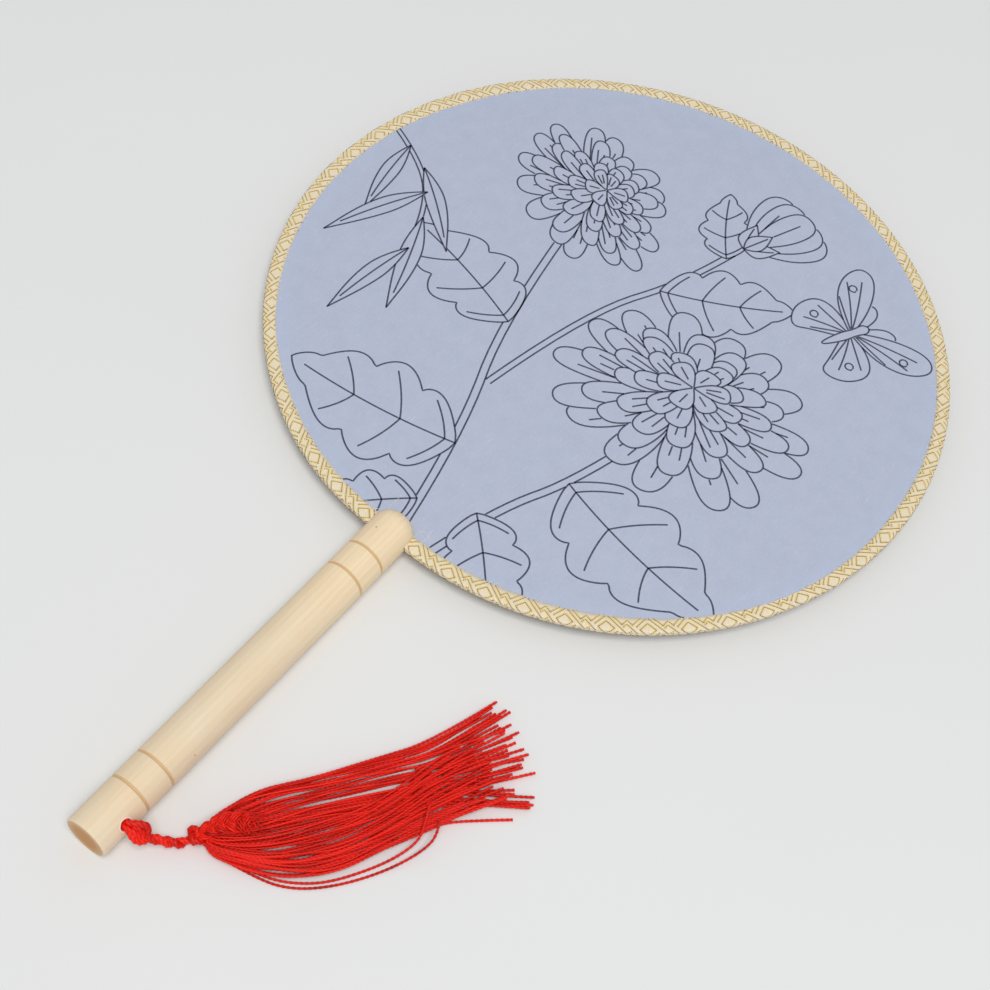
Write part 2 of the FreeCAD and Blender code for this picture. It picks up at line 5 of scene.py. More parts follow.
import bpy
import numpy as np
from mathutils import Matrix, Vector
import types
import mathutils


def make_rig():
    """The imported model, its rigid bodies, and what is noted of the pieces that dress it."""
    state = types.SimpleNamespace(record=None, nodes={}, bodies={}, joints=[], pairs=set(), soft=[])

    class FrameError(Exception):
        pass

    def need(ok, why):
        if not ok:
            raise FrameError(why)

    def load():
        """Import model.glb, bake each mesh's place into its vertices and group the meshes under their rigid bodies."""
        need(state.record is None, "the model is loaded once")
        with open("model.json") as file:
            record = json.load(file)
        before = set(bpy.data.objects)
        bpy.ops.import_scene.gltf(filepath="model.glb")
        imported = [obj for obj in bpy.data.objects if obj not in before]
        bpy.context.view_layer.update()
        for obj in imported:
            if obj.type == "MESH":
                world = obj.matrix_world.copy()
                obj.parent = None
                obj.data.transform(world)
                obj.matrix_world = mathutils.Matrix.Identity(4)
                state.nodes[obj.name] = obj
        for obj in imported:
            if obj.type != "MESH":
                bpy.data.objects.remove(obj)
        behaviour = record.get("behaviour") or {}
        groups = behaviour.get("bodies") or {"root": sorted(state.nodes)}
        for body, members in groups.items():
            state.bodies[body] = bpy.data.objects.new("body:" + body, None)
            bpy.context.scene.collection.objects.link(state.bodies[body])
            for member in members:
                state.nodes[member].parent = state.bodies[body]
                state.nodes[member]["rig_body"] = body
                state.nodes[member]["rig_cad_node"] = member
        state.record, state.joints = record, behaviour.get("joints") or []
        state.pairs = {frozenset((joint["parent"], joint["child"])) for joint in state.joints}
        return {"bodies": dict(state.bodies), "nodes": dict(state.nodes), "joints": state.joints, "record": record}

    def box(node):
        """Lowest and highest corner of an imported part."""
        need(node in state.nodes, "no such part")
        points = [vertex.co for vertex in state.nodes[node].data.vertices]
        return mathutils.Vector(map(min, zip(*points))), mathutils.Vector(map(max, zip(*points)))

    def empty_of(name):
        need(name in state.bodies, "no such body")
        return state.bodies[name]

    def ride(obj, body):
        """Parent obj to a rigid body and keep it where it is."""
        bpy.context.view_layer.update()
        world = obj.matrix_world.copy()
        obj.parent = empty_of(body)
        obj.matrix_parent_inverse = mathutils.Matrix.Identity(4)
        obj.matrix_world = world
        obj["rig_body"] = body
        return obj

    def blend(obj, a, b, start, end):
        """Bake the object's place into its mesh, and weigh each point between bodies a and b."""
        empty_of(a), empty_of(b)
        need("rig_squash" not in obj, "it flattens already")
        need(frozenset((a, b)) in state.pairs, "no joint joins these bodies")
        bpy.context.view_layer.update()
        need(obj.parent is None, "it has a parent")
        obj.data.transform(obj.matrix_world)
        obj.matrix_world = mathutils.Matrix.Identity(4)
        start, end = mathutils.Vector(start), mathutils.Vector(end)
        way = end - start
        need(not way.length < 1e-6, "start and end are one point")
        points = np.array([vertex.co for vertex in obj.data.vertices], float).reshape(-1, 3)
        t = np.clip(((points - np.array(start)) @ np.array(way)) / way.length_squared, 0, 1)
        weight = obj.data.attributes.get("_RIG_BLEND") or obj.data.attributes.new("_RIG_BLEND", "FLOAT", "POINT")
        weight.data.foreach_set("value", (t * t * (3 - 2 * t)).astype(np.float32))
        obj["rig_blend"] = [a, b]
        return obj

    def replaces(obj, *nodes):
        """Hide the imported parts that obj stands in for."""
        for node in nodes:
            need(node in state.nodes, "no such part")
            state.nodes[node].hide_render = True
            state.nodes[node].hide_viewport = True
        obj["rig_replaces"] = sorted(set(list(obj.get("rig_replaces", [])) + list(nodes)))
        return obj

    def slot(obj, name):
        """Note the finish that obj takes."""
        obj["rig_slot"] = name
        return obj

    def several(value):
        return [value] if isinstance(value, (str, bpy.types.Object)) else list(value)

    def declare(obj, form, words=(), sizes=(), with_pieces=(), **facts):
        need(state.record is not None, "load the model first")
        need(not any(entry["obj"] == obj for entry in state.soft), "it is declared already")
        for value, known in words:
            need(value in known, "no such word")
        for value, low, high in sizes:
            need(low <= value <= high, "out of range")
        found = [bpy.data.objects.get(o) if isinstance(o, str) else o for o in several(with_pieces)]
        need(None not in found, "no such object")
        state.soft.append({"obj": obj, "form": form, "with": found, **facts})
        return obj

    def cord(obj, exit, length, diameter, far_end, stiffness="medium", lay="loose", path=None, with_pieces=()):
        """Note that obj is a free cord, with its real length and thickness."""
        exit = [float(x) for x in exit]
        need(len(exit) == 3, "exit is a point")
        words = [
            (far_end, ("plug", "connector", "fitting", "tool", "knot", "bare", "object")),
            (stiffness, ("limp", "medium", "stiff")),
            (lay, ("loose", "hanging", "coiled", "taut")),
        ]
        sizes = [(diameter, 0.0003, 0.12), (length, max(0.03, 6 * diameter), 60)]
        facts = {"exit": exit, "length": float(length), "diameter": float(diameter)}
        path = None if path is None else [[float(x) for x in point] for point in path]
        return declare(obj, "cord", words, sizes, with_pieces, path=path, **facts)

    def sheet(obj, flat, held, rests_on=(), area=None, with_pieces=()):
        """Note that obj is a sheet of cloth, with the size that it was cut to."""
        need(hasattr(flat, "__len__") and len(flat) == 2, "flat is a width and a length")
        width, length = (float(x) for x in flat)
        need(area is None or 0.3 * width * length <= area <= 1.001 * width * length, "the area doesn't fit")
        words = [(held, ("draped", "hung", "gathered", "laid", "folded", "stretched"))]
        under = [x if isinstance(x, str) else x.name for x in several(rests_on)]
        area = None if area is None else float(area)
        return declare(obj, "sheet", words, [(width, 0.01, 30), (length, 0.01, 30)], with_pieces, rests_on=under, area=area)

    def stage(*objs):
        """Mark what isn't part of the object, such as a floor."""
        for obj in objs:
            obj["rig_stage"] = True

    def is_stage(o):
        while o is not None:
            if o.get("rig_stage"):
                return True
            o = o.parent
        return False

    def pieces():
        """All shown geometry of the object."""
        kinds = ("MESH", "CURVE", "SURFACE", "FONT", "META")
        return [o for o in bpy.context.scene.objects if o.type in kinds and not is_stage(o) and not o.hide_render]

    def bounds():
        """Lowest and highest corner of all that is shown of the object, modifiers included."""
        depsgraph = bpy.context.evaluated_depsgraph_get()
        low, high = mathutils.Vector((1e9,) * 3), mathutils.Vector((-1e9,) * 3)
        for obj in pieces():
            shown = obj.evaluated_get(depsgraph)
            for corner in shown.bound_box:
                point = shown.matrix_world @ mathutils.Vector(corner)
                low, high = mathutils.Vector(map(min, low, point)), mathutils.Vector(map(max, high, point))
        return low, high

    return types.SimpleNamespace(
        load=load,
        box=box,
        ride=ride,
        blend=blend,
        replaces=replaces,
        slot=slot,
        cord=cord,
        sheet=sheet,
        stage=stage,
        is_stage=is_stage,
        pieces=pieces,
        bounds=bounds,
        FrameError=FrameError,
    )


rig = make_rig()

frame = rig.load()
cad_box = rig.bounds()


# Handle: a rod of pale hardwood turned on a lathe, with two pairs of shallow grooves, a domed top sawn open
# for the face and a cross hole near the butt for the cord. It is sanded and left almost bare.
mm = 0.001
handle = frame["nodes"]["handle"]
handle_low, handle_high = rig.box("handle")
handle_axis = (handle_low + handle_high) / 2
butt_centre = Vector((handle_axis.x, handle_low.y, handle_axis.z))
GRIP_LENGTH = 124 * mm
LOW_GROOVE = 16.8 * mm
HIGH_GROOVE = GRIP_LENGTH - 8 * mm
GROOVE_PITCH = 9.75 * mm
GROOVE_HALF_WIDTH = 0.55 * mm
STREAK_WIDTH = 0.55 * mm
STREAK_LENGTH = 17 * mm
RING_SPACING = 1.9 * mm
RING_STRETCH = 0.05
PITH_OFFSET = 8 * mm
TONE_PATCH = 20 * mm
TOP_TONE = (75 * mm, 110 * mm)
LATHE_PITCH = 0.8 * mm
WAVE_PERIOD = 0.314
END_GRAIN = (0.09 * mm, 0.02 * mm)
END_CORE = (6.3 * mm, 3.5 * mm)
END_PORE = 0.35 * mm
WOOD_RELIEF = 0.06 * mm
# Small spots on the wood. The first, a pale ring round the cord hole's mouth, is a painted highlight on the hole's
# lip; the other two are marks in the wood.
MARKS_AND_HOLE_HIGHLIGHT = [
    ((6.5, 9, 2.7), 2.45, "#fff6ea"),
    ((6.4, 35.7, 2.8), 0.3, "#b9705a"),
    ((-2.1, 123.6, 6.7), 0.35, "#a98250"),
]


def linear(colour):
    """Linear RGBA of an sRGB hex colour."""
    channels = [int(colour[at : at + 2], 16) / 255 for at in (1, 3, 5)]
    return [c / 12.92 if c <= 0.04045 else ((c + 0.055) / 1.055) ** 2.4 for c in channels] + [1.0]


def add(tree, kind, inputs=None, **settings):
    """Add a node with its settings. An input is a constant, or a node or socket to link from."""
    node = tree.nodes.new(kind)
    for name, setting in settings.items():
        setattr(node, name, setting)
    for key, value in (inputs or {}).items():
        sockets = [socket for socket in node.inputs if socket.enabled]
        socket = sockets[key] if isinstance(key, int) else next(s for s in sockets if s.name == key)
        if isinstance(value, bpy.types.Node):
            value = next(output for output in value.outputs if output.enabled)
        if isinstance(value, bpy.types.NodeSocket):
            tree.links.new(value, socket)
        else:
            socket.default_value = value
    return node


def new_material(name):
    """An empty material and its tree."""
    material = bpy.data.materials.new(name)
    material.use_nodes = True
    material.node_tree.nodes.clear()
    return material, material.node_tree


def reckoned(tree, operation, *values):
    """A sum on those values, each a constant, a node or a socket."""
    return add(tree, "ShaderNodeMath", dict(enumerate(values)), operation=operation)


def share_of(tree, value, low, high, least=0.0, most=1.0):
    """The least share where the value is low, the most where it is high, and even between them."""
    limits = {"Value": value, "From Min": low, "From Max": high, "To Min": least, "To Max": most}
    return add(tree, "ShaderNodeMapRange", limits)


def mixed(tree, share, first, second):
    """The first colour at share 0 and the second at share 1. Each is an sRGB hex colour or a node."""
    ends = [linear(colour) if isinstance(colour, str) else colour for colour in (first, second)]
    return add(tree, "ShaderNodeMix", {"Factor": share, "A": ends[0], "B": ends[1]}, data_type="RGBA")


def noise(tree, space, patch, detail):
    """Noise with patches of about that size."""
    return add(tree, "ShaderNodeTexNoise", {"Vector": space, "Scale": 1 / patch, "Detail": detail})


def bumped(tree, relief, strength, depth):
    """The normal of a surface with relief of that depth."""
    return add(tree, "ShaderNodeBump", {"Height": relief, "Strength": strength, "Distance": depth})


def surfaced(tree, looks):
    """End the material in a surface with those looks."""
    shader = add(tree, "ShaderNodeBsdfPrincipled", looks)
    add(tree, "ShaderNodeOutputMaterial", {"Surface": shader})


# Sanded hardwood, almost bare: cream, warmer near the top, with fine streaks along the rod, faint rings,
# two small marks and a pale ring round the cord hole's mouth that is a painted highlight on its lip. It is
# darker where the tool bit across the grain, in the grooves and on the butt's end grain; in the grooves the
# darker colour is also painted shade of their hollows.
wood, tree = new_material("sanded_turned_hardwood")
place = add(tree, "ShaderNodeTexCoord").outputs["Object"]
on_rod = add(tree, "ShaderNodeMapping", {"Vector": place, "Location": -butt_centre})
along_rod = add(tree, "ShaderNodeSeparateXYZ", {"Vector": on_rod}).outputs["Y"]
streak_scale = (1 / STREAK_WIDTH, 1 / STREAK_LENGTH, 1 / STREAK_WIDTH)
streak_space = add(tree, "ShaderNodeMapping", {"Vector": on_rod, "Scale": streak_scale})
streaks = noise(tree, streak_space, 1, 3.0)
ring_place = {"Vector": on_rod, "Location": (PITH_OFFSET, 0, -PITH_OFFSET), "Scale": (1, RING_STRETCH, 1)}
ring_space = add(tree, "ShaderNodeMapping", ring_place)
ring_inputs = {"Vector": ring_space, "Scale": WAVE_PERIOD / RING_SPACING, "Distortion": 1.5, "Detail": 2.0}
rings = add(tree, "ShaderNodeTexWave", ring_inputs, wave_type="RINGS", rings_direction="Y")
tone = noise(tree, on_rod, TONE_PATCH, 2.0)
cream = mixed(tree, share_of(tree, tone, 0.35, 0.7), "#eddbbd", "#ecd4b1")
cream = mixed(tree, share_of(tree, along_rod, *TOP_TONE, 0, 0.9), cream, "#f8e1bb")
ringed = mixed(tree, reckoned(tree, "MULTIPLY", rings.outputs["Fac"], 0.16), cream, "#dbc095")
streaked = mixed(tree, share_of(tree, streaks, 0.42, 0.72, 0, 0.3), ringed, "#dec398")
pair_centres = (LOW_GROOVE + GROOVE_PITCH / 2, HIGH_GROOVE - GROOVE_PITCH / 2)
rod_middle = sum(pair_centres) / 2
# Mirrored at the rod's middle, a pair's and a groove's, the place along the rod is a distance from a groove.
off_groove = along_rod
for mirror in (rod_middle, pair_centres[1] - rod_middle, GROOVE_PITCH / 2):
    off_groove = reckoned(tree, "ABSOLUTE", reckoned(tree, "SUBTRACT", off_groove, mirror))
groove_share = share_of(tree, off_groove, GROOVE_HALF_WIDTH, GROOVE_HALF_WIDTH * 0.55)
# Darker in the grooves: partly the grain the tool cut across, partly painted shade of the groove's hollow.
marks_shade_and_highlight = mixed(tree, groove_share, streaked, "#d7b382")
# The first spot paints a highlight round the hole's mouth; the other two are marks in the wood.
for spot, reach, colour in MARKS_AND_HOLE_HIGHLIGHT:
    off_mark_and_highlight = add(tree, "ShaderNodeVectorMath", {0: on_rod, 1: Vector(spot) * mm}, operation="DISTANCE")
    mark_and_highlight_share = share_of(tree, off_mark_and_highlight.outputs["Value"], reach * mm, reach * 0.85 * mm, 0, 0.7)
    marks_shade_and_highlight = mixed(tree, mark_and_highlight_share, marks_shade_and_highlight, colour)
off_axis = add(tree, "ShaderNodeVectorMath", {0: on_rod, 1: (1, 0, 1)}, operation="MULTIPLY")
off_axis = add(tree, "ShaderNodeVectorMath", {0: off_axis}, operation="LENGTH")
core_share = share_of(tree, off_axis.outputs["Value"], *END_CORE, 0.6)
end_share = reckoned(tree, "MULTIPLY", share_of(tree, along_rod, *END_GRAIN), core_share)
end_grain = mixed(tree, noise(tree, on_rod, END_PORE, 3.0), "#b47630", "#d0974c")
wood_colour = mixed(tree, end_share, marks_shade_and_highlight, end_grain)
lathe_inputs = {"Vector": on_rod, "Scale": WAVE_PERIOD / LATHE_PITCH, "Distortion": 2.0, "Detail": 2.0}
lathe = add(tree, "ShaderNodeTexWave", lathe_inputs, bands_direction="Y")
relief = reckoned(tree, "MULTIPLY_ADD", lathe.outputs["Fac"], 0.3, streaks)
wood_bump = bumped(tree, relief, 0.25, WOOD_RELIEF)
wood_rough = share_of(tree, streaks, 0, 1, 0.42, 0.6)
surfaced(tree, {"Base Color": wood_colour, "Roughness": wood_rough, "Normal": wood_bump})
handle.data.materials.clear()
handle.data.materials.append(wood)


# Hoop: a strip of split bamboo bent to a ring and glued at its scarfed ends. It keeps the papers flat and
# lies hidden between them and the ribbon, so only its material matters to a cut-away.
hoop = frame["nodes"]["hoop"]
HOOP_FIBRE_SCALE = (30, 30, 1 / (0.3 * mm))
HOOP_RELIEF = 0.05 * mm
# Split bamboo: straw yellow with fine straight fibres along the strip and a slight natural polish.
bamboo, tree = new_material("split_bamboo")
place = add(tree, "ShaderNodeTexCoord").outputs["Object"]
fibre_space = add(tree, "ShaderNodeMapping", {"Vector": place, "Scale": HOOP_FIBRE_SCALE})
fibres = noise(tree, fibre_space, 1, 3.0)
straw = mixed(tree, fibres, "#c9ab6a", "#e3cb93")
fibre_bump = bumped(tree, fibres, 0.3, HOOP_RELIEF)
surfaced(tree, {"Base Color": straw, "Roughness": 0.45, "Normal": fibre_bump})
hoop.data.materials.clear()
hoop.data.materials.append(bamboo)


# Face papers: two discs of dyed xuan paper, one glued to each side of the hoop and drawn tight as the paste
# dries. The front one is printed and the back one is plain. They are round but for the hoop's ends, which
# bend in a little on their way to the seam inside the handle's slot.
front_low, front_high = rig.box("front_sheet")
back_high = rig.box("back_sheet")[1]
trim_low, trim_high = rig.box("edge_trim")
PAPER_RADIUS = (front_high.x - front_low.x) / 2
RIM_RADIUS = (trim_high.x - trim_low.x) / 2
face_centre = Vector((0, front_high.y - PAPER_RADIUS, (front_low.z + back_high.z) / 2))
END_DIP = 2.6 * mm
LEFT_TURN = math.radians(30)
RIGHT_TURN = math.radians(46)
PAPER_RINGS = 24
PAPER_SPOKES = 180
PAPER_CLOUD = 6 * mm
PAPER_PULP = 0.9 * mm
PAPER_FIBRE = (0.25 * mm, 3.5 * mm)
FIBRE_TURNS = (0.4, 1.9)
BLUER_RIM_BAND = (PAPER_RADIUS - 11 * mm, PAPER_RADIUS - 3 * mm)
PAPER_RELIEF = 0.08 * mm


def finished_mesh(name, vertices, faces, material):
    """A smooth-shaded mesh object with one material."""
    mesh = bpy.data.meshes.new(name)
    mesh.from_pydata(vertices, [], faces)
    mesh.polygons.foreach_set("use_smooth", [True] * len(faces))
    mesh.materials.append(material)
    piece = bpy.data.objects.new(name, mesh)
    bpy.context.scene.collection.objects.link(piece)
    return piece


# Dyed xuan paper: soft lavender blue, matt, with cloudy dye, fine pulp grain and a few long fibres, and a
# little paler and bluer near the ribbon.
paper, tree = new_material("dyed_xuan_paper")
place = add(tree, "ShaderNodeTexCoord").outputs["Object"]
on_face = add(tree, "ShaderNodeMapping", {"Vector": place, "Location": -face_centre})
cloud = noise(tree, on_face, PAPER_CLOUD, 3.0)
pulp = noise(tree, on_face, PAPER_PULP, 4.0)
fibre_scale = (1 / PAPER_FIBRE[0], 1 / PAPER_FIBRE[1], 1 / PAPER_FIBRE[1])
strands = []
for turn in FIBRE_TURNS:
    fibre_space = {"Vector": on_face, "Rotation": (0, 0, turn), "Scale": fibre_scale}
    fibre_space = add(tree, "ShaderNodeMapping", fibre_space)
    strand = {"Vector": fibre_space, "Scale": 1.0, "Detail": 1.0, "Distortion": 0.6}
    strand = add(tree, "ShaderNodeTexNoise", strand)
    strands.append(share_of(tree, strand, 0.64, 0.74))
fibre_share = reckoned(tree, "MAXIMUM", *strands)
dye = mixed(tree, share_of(tree, cloud, 0.3, 0.7), "#b1b8cc", "#b6bdd0")
dye = mixed(tree, share_of(tree, pulp, 0.35, 0.75, 0, 0.5), dye, "#bcc2d2")
dye = mixed(tree, reckoned(tree, "MULTIPLY", fibre_share, 0.4), dye, "#cdd2de")
off_centre = add(tree, "ShaderNodeVectorMath", {"Vector": on_face}, operation="LENGTH")
# A little paler and bluer in a band just inside the ribbon.
dye = mixed(tree, share_of(tree, off_centre, *BLUER_RIM_BAND, 0, 0.3), dye, "#b6c4de")
relief = reckoned(tree, "MULTIPLY_ADD", fibre_share, 0.6, pulp)
paper_bump = bumped(tree, relief, 0.3, PAPER_RELIEF)
paper_rough = share_of(tree, pulp, 0, 1, 0.72, 0.9)
paper_looks = {"Base Color": dye, "Roughness": paper_rough, "Normal": paper_bump, "Specular IOR Level": 0.3}
surfaced(tree, paper_looks)


def rim_reach(angle):
    """The rim's radius at that angle: the full round, or less along an end that bends in to the seam."""
    off_seam = (angle + math.pi * 1.5) % math.tau - math.pi
    turn = RIGHT_TURN if off_seam > 0 else LEFT_TURN
    seam_reach = RIM_RADIUS - END_DIP
    tighter = (RIM_RADIUS**2 - seam_reach**2) / 2 / (RIM_RADIUS - seam_reach * math.cos(turn))
    along_end = max(0, turn - abs(off_seam))
    across = tighter * math.sin(along_end)
    return tighter * math.cos(along_end) + math.sqrt((RIM_RADIUS - tighter) ** 2 - across**2)


def face_paper(name, node):
    """A closed disc of paper with that CAD sheet's size and place."""
    low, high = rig.box(node)
    vertices, faces = [], []
    for level in (high.z, low.z):
        vertices.append(Vector((face_centre.x, face_centre.y, level)))
        for ring in range(1, PAPER_RINGS + 1):
            for spoke in range(PAPER_SPOKES):
                angle = math.tau * spoke / PAPER_SPOKES
                radius = (rim_reach(angle) - RIM_RADIUS + PAPER_RADIUS) * ring / PAPER_RINGS
                x, y = radius * math.cos(angle), radius * math.sin(angle)
                vertices.append(Vector((face_centre.x + x, face_centre.y + y, level)))
    side_count = 1 + PAPER_RINGS * PAPER_SPOKES
    for spoke in range(PAPER_SPOKES):
        after = (spoke + 1) % PAPER_SPOKES
        for first, flip in ((0, False), (side_count, True)):
            corner = first + 1
            wedges = [(first, corner + spoke, corner + after)]
            for ring in range(PAPER_RINGS - 1):
                inner, outer = corner + ring * PAPER_SPOKES, corner + (ring + 1) * PAPER_SPOKES
                wedges.append((inner + spoke, outer + spoke, outer + after, inner + after))
            faces.extend(wedge[::-1] if flip else wedge for wedge in wedges)
        top = 1 + (PAPER_RINGS - 1) * PAPER_SPOKES
        bottom = side_count + top
        faces.append((top + spoke, bottom + spoke, bottom + after, top + after))
    sheet = finished_mesh(name, vertices, faces, paper)
    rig.ride(sheet, "fan")
    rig.replaces(sheet, node)
    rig.slot(sheet, "face_paper")
    return sheet


front_paper = face_paper("front_paper", "front_sheet")
back_paper = face_paper("back_paper", "back_sheet")
paper_cut = (front_high.x - front_low.x, front_high.y - front_low.y)
paper_area = math.pi * PAPER_RADIUS**2


# Drawing: garden flowers, leaves, a twig and a butterfly, printed on the front paper in one even grey
# outline, as on fans that are sold to be coloured in.
INK_WIDTH = 0.56 * mm
INK_HEIGHT = 0.05 * mm
INK_STEP = 0.6 * mm
INK_REACH = 110.9 * mm
PETAL = [(0, 0), (-0.2, 0.2), (-0.5, 0.62), (-0.4, 1.0), (0.4, 1.0), (0.5, 0.62), (0.2, 0.2), (0, 0)]
BLADE = [(0, 0), (-0.45, 0.25), (-0.4, 0.6), (0, 1.0), (0, 1.0), (0.4, 0.6), (0.45, 0.25), (0, 0)]
PETAL_TIERS = ((15, 1.0), (14, 0.8), (12, 0.61), (9, 0.43), (6, 0.27))
draw = random.Random(4)
drawing = []


def spline_line(controls, closed=False):
    """Points along the smooth NURBS line that has these control points."""
    curve = bpy.data.curves.new("route", "CURVE")
    curve.dimensions = "3D"
    curve.resolution_u = 6
    spline = curve.splines.new("NURBS")
    spline.points.add(len(controls) - 1)
    for point, control in zip(spline.points, controls):
        point.co = (*control, 1)
    spline.order_u = 3
    spline.use_endpoint_u = not closed
    spline.use_cyclic_u = closed
    holder = bpy.data.objects.new("route", curve)
    mesh = bpy.data.meshes.new_from_object(holder)
    line = [vertex.co.copy() for vertex in mesh.vertices]
    bpy.data.objects.remove(holder)
    bpy.data.curves.remove(curve)
    bpy.data.meshes.remove(mesh)
    return line


def placed(points, base, angle, width, length, bend=0.0):
    """Points across and along a shape, as places on the face. It points at that angle from its base."""
    along = Vector((math.cos(math.radians(angle)), math.sin(math.radians(angle)), 0))
    across = Vector((-along.y, along.x, 0))
    spot = Vector((*base, 0))
    return [(spot + across * (x * width + bend * y * y) + along * (y * length)) * mm for x, y in points]


def way_at(line, at):
    """The line's direction at that point."""
    return (line[min(at + 1, len(line) - 1)] - line[max(at - 1, 0)]).normalized()


def draw_stem(controls, width):
    """A stalk as two lines beside a smooth middle line."""
    line = spline_line([Vector((*control, 0)) * mm for control in controls])
    left, right = [], []
    for at, point in enumerate(line):
        way = way_at(line, at)
        side = Vector((-way.y, way.x, 0)) * (width * mm / 2)
        left.append(point + side)
        right.append(point - side)
    drawing.append((left + right[::-1], []))


def leaf_half(share):
    """Half the width of a lobed leaf at that share of its length, for a leaf one unit wide."""
    lobes = 0.7 + 0.3 * abs(math.sin(3.5 * math.pi * share)) ** 0.7
    return 0.5 * math.sin(math.pi * share**0.8) ** 0.8 * lobes


def draw_leaf(base, angle, length, width, bend):
    """A lobed leaf with a midrib and a vein to each lobe."""
    shares = [step / 60 for step in range(61)]
    left = [(-leaf_half(share), share) for share in shares]
    right = [(leaf_half(share), share) for share in shares[::-1]]
    outline = placed(left + right, base, angle, width, length, bend)
    veins = [placed([(0, share) for share in shares[:56]], base, angle, width, length, bend)]
    for lobe in (0.19, 0.45, 0.73):
        for side in (-0.82, 0.82):
            reach = side * leaf_half(lobe)
            vein = [(0, lobe - 0.13), (reach * 0.5, lobe - 0.09), (reach, lobe)]
            veins.append(spline_line(placed(vein, base, angle, width, length, bend)))
    drawing.append((outline, veins))


def draw_blade(base, angle, length, width, bend):
    """A slim pointed leaf with its midrib."""
    outline = spline_line(placed(BLADE, base, angle, width, length, bend))
    midrib = placed([(0, 0.04 * step) for step in range(22)], base, angle, width, length, bend)
    drawing.append((outline, [midrib]))


def draw_petal(base, angle, length, width, bend, squash):
    """A spoon-shaped petal with one or two creases. squash maps it on to the bloom's tilted plane."""
    outline = spline_line([squash(point) for point in placed(PETAL, base, angle, width, length, bend)])
    creases = []
    for side in draw.choice(((0,), (-0.14, 0.14))):
        crease = [(side * 0.5, 0.34), (side, 0.6), (side * 1.2, draw.uniform(0.72, 0.86))]
        crease = placed(crease, base, angle, width, length, bend)
        creases.append(spline_line([squash(point) for point in crease]))
    drawing.append((outline, creases))


def draw_bloom(centre, radius, facing, squash_share):
    """A many-petalled flower seen at a slant, drawn from its outer petals to its heart."""
    middle = Vector((*centre, 0)) * mm
    toward = Vector((math.cos(math.radians(facing)), math.sin(math.radians(facing)), 0))
    for tier, (count, reach) in enumerate(PETAL_TIERS):
        lift = toward * (0.045 * tier * radius * mm)

        def squash(point):
            """Foreshorten towards the way the bloom faces, and raise the inner tiers."""
            offset = point - middle
            return point - toward * (offset.dot(toward) * (1 - squash_share)) + lift

        for petal in [*range(0, count, 2), *range(1, count, 2)]:
            angle = 360 * (petal + 0.37 * tier) / count + draw.gauss(0, 2.2)
            length = radius * reach * draw.uniform(0.93, 1.05)
            width = 2.2 * math.pi * radius * reach * 0.62 / count
            draw_petal(centre, angle, length, width, draw.gauss(0, 0.06) * length, squash)


def draw_bud(base, angle, length):
    """A closed bud: petals folded up over each other in a small cup of sepals."""
    for lean in (-30, 30, -16, 16, 0):
        draw_petal(base, angle + lean, length, length * 0.42, -0.1 * lean, lambda point: point)
    for lean in (-42, 42, 0):
        draw_blade(base, angle + lean, length * 0.42, length * 0.26, -0.05 * lean)


def draw_butterfly(centre, angle, scale):
    """A butterfly with open wings, the same on both sides."""
    forewing = [(0.8, 2.5), (6, 12), (19, 23), (27, 20), (24, 9), (12, 1), (0.8, 0)]
    hindwing = [(0.8, 0.5), (10, 1.5), (20, -3), (19, -14), (11, -20), (7, -13), (0.8, -5)]
    fore_veins = [[(2, 2), (9, 9), (20, 17)], [(2, 1.5), (11, 7), (22, 11.5)], [(2, 1), (10, 3), (17, 5)]]
    hind_veins = [[(2, -1), (9, -3), (16, -5)], [(2, -2), (8, -7), (13, -13)], [(2, -3), (5, -8), (8, -13)]]
    for side in (-1, 1):
        for wing, veins in ((hindwing, hind_veins), (forewing, fore_veins)):
            lines = [[(side * x, y) for x, y in line] for line in [wing, *veins]]
            lines = [spline_line(placed(line, centre, angle, -scale, scale)) for line in lines]
            x, y = side * 0.68 * wing[3][0], 0.6 * wing[3][1]
            spot = [(x + 1.7 * math.cos(turn), y + 1.7 * math.sin(turn)) for turn in range(7)]
            drawing.append((lines[0] + lines[0][:1], lines[1:]))
            drawing.append((spline_line(placed(spot, centre, angle, -scale, scale), closed=True), []))
    half_body = [(-2.4, 7), (-1.4, 2), (-2, -3), (-1, -11)]
    other_half = [(-x, y) for x, y in half_body[::-1]]
    body = [(0, 8), *half_body, (0, -13), *other_half, (0, 8)]
    drawing.append((spline_line(placed(body, centre, angle, -scale, scale)), []))
    for side in (-1, 1):
        feeler = [(side * 0.7, 7.6), (side * 2, 13), (side * 7, 16), (side * 8.5, 14.5)]
        drawing.append((None, [spline_line(placed(feeler, centre, angle, -scale, scale))]))


draw_stem([(8, -113), (14, -84), (28, -56), (36, -18)], 2.6)
draw_stem([(-2, -113), (-10, -70), (-30, -20), (-38, 36)], 2.6)
draw_stem([(-17, -46), (-10, 0), (8, 34), (14, 62)], 2.2)
draw_stem([(-114, 22), (-92, 14), (-76, -4), (-70, -24)], 1.6)
draw_leaf((26, -60), -18, 62, 40, 9)
draw_leaf((11, -88), -42, 44, 28, -5)
draw_leaf((-10, -72), 196, 60, 40, -8)
draw_leaf((-27, -22), 158, 50, 33, 6)
draw_leaf((-6, -96), 222, 34, 22, 4)
draw_leaf((3, 24), 24, 46, 30, 6)
draw_leaf((12, 52), 128, 30, 19, -4)
draw_bloom((36, -10), 45, 100, 0.8)
draw_bloom((-40, 43), 35, 60, 0.74)
draw_bud((14, 60), 68, 30)
draw_blade((-100, 17), -84, 34, 7.5, 3)
draw_blade((-90, 12), -34, 38, 8, -4)
draw_blade((-82, 4), -118, 40, 8, 4)
draw_blade((-76, -6), -64, 42, 8.5, -3)
draw_blade((-71, -20), -100, 38, 8, 3)
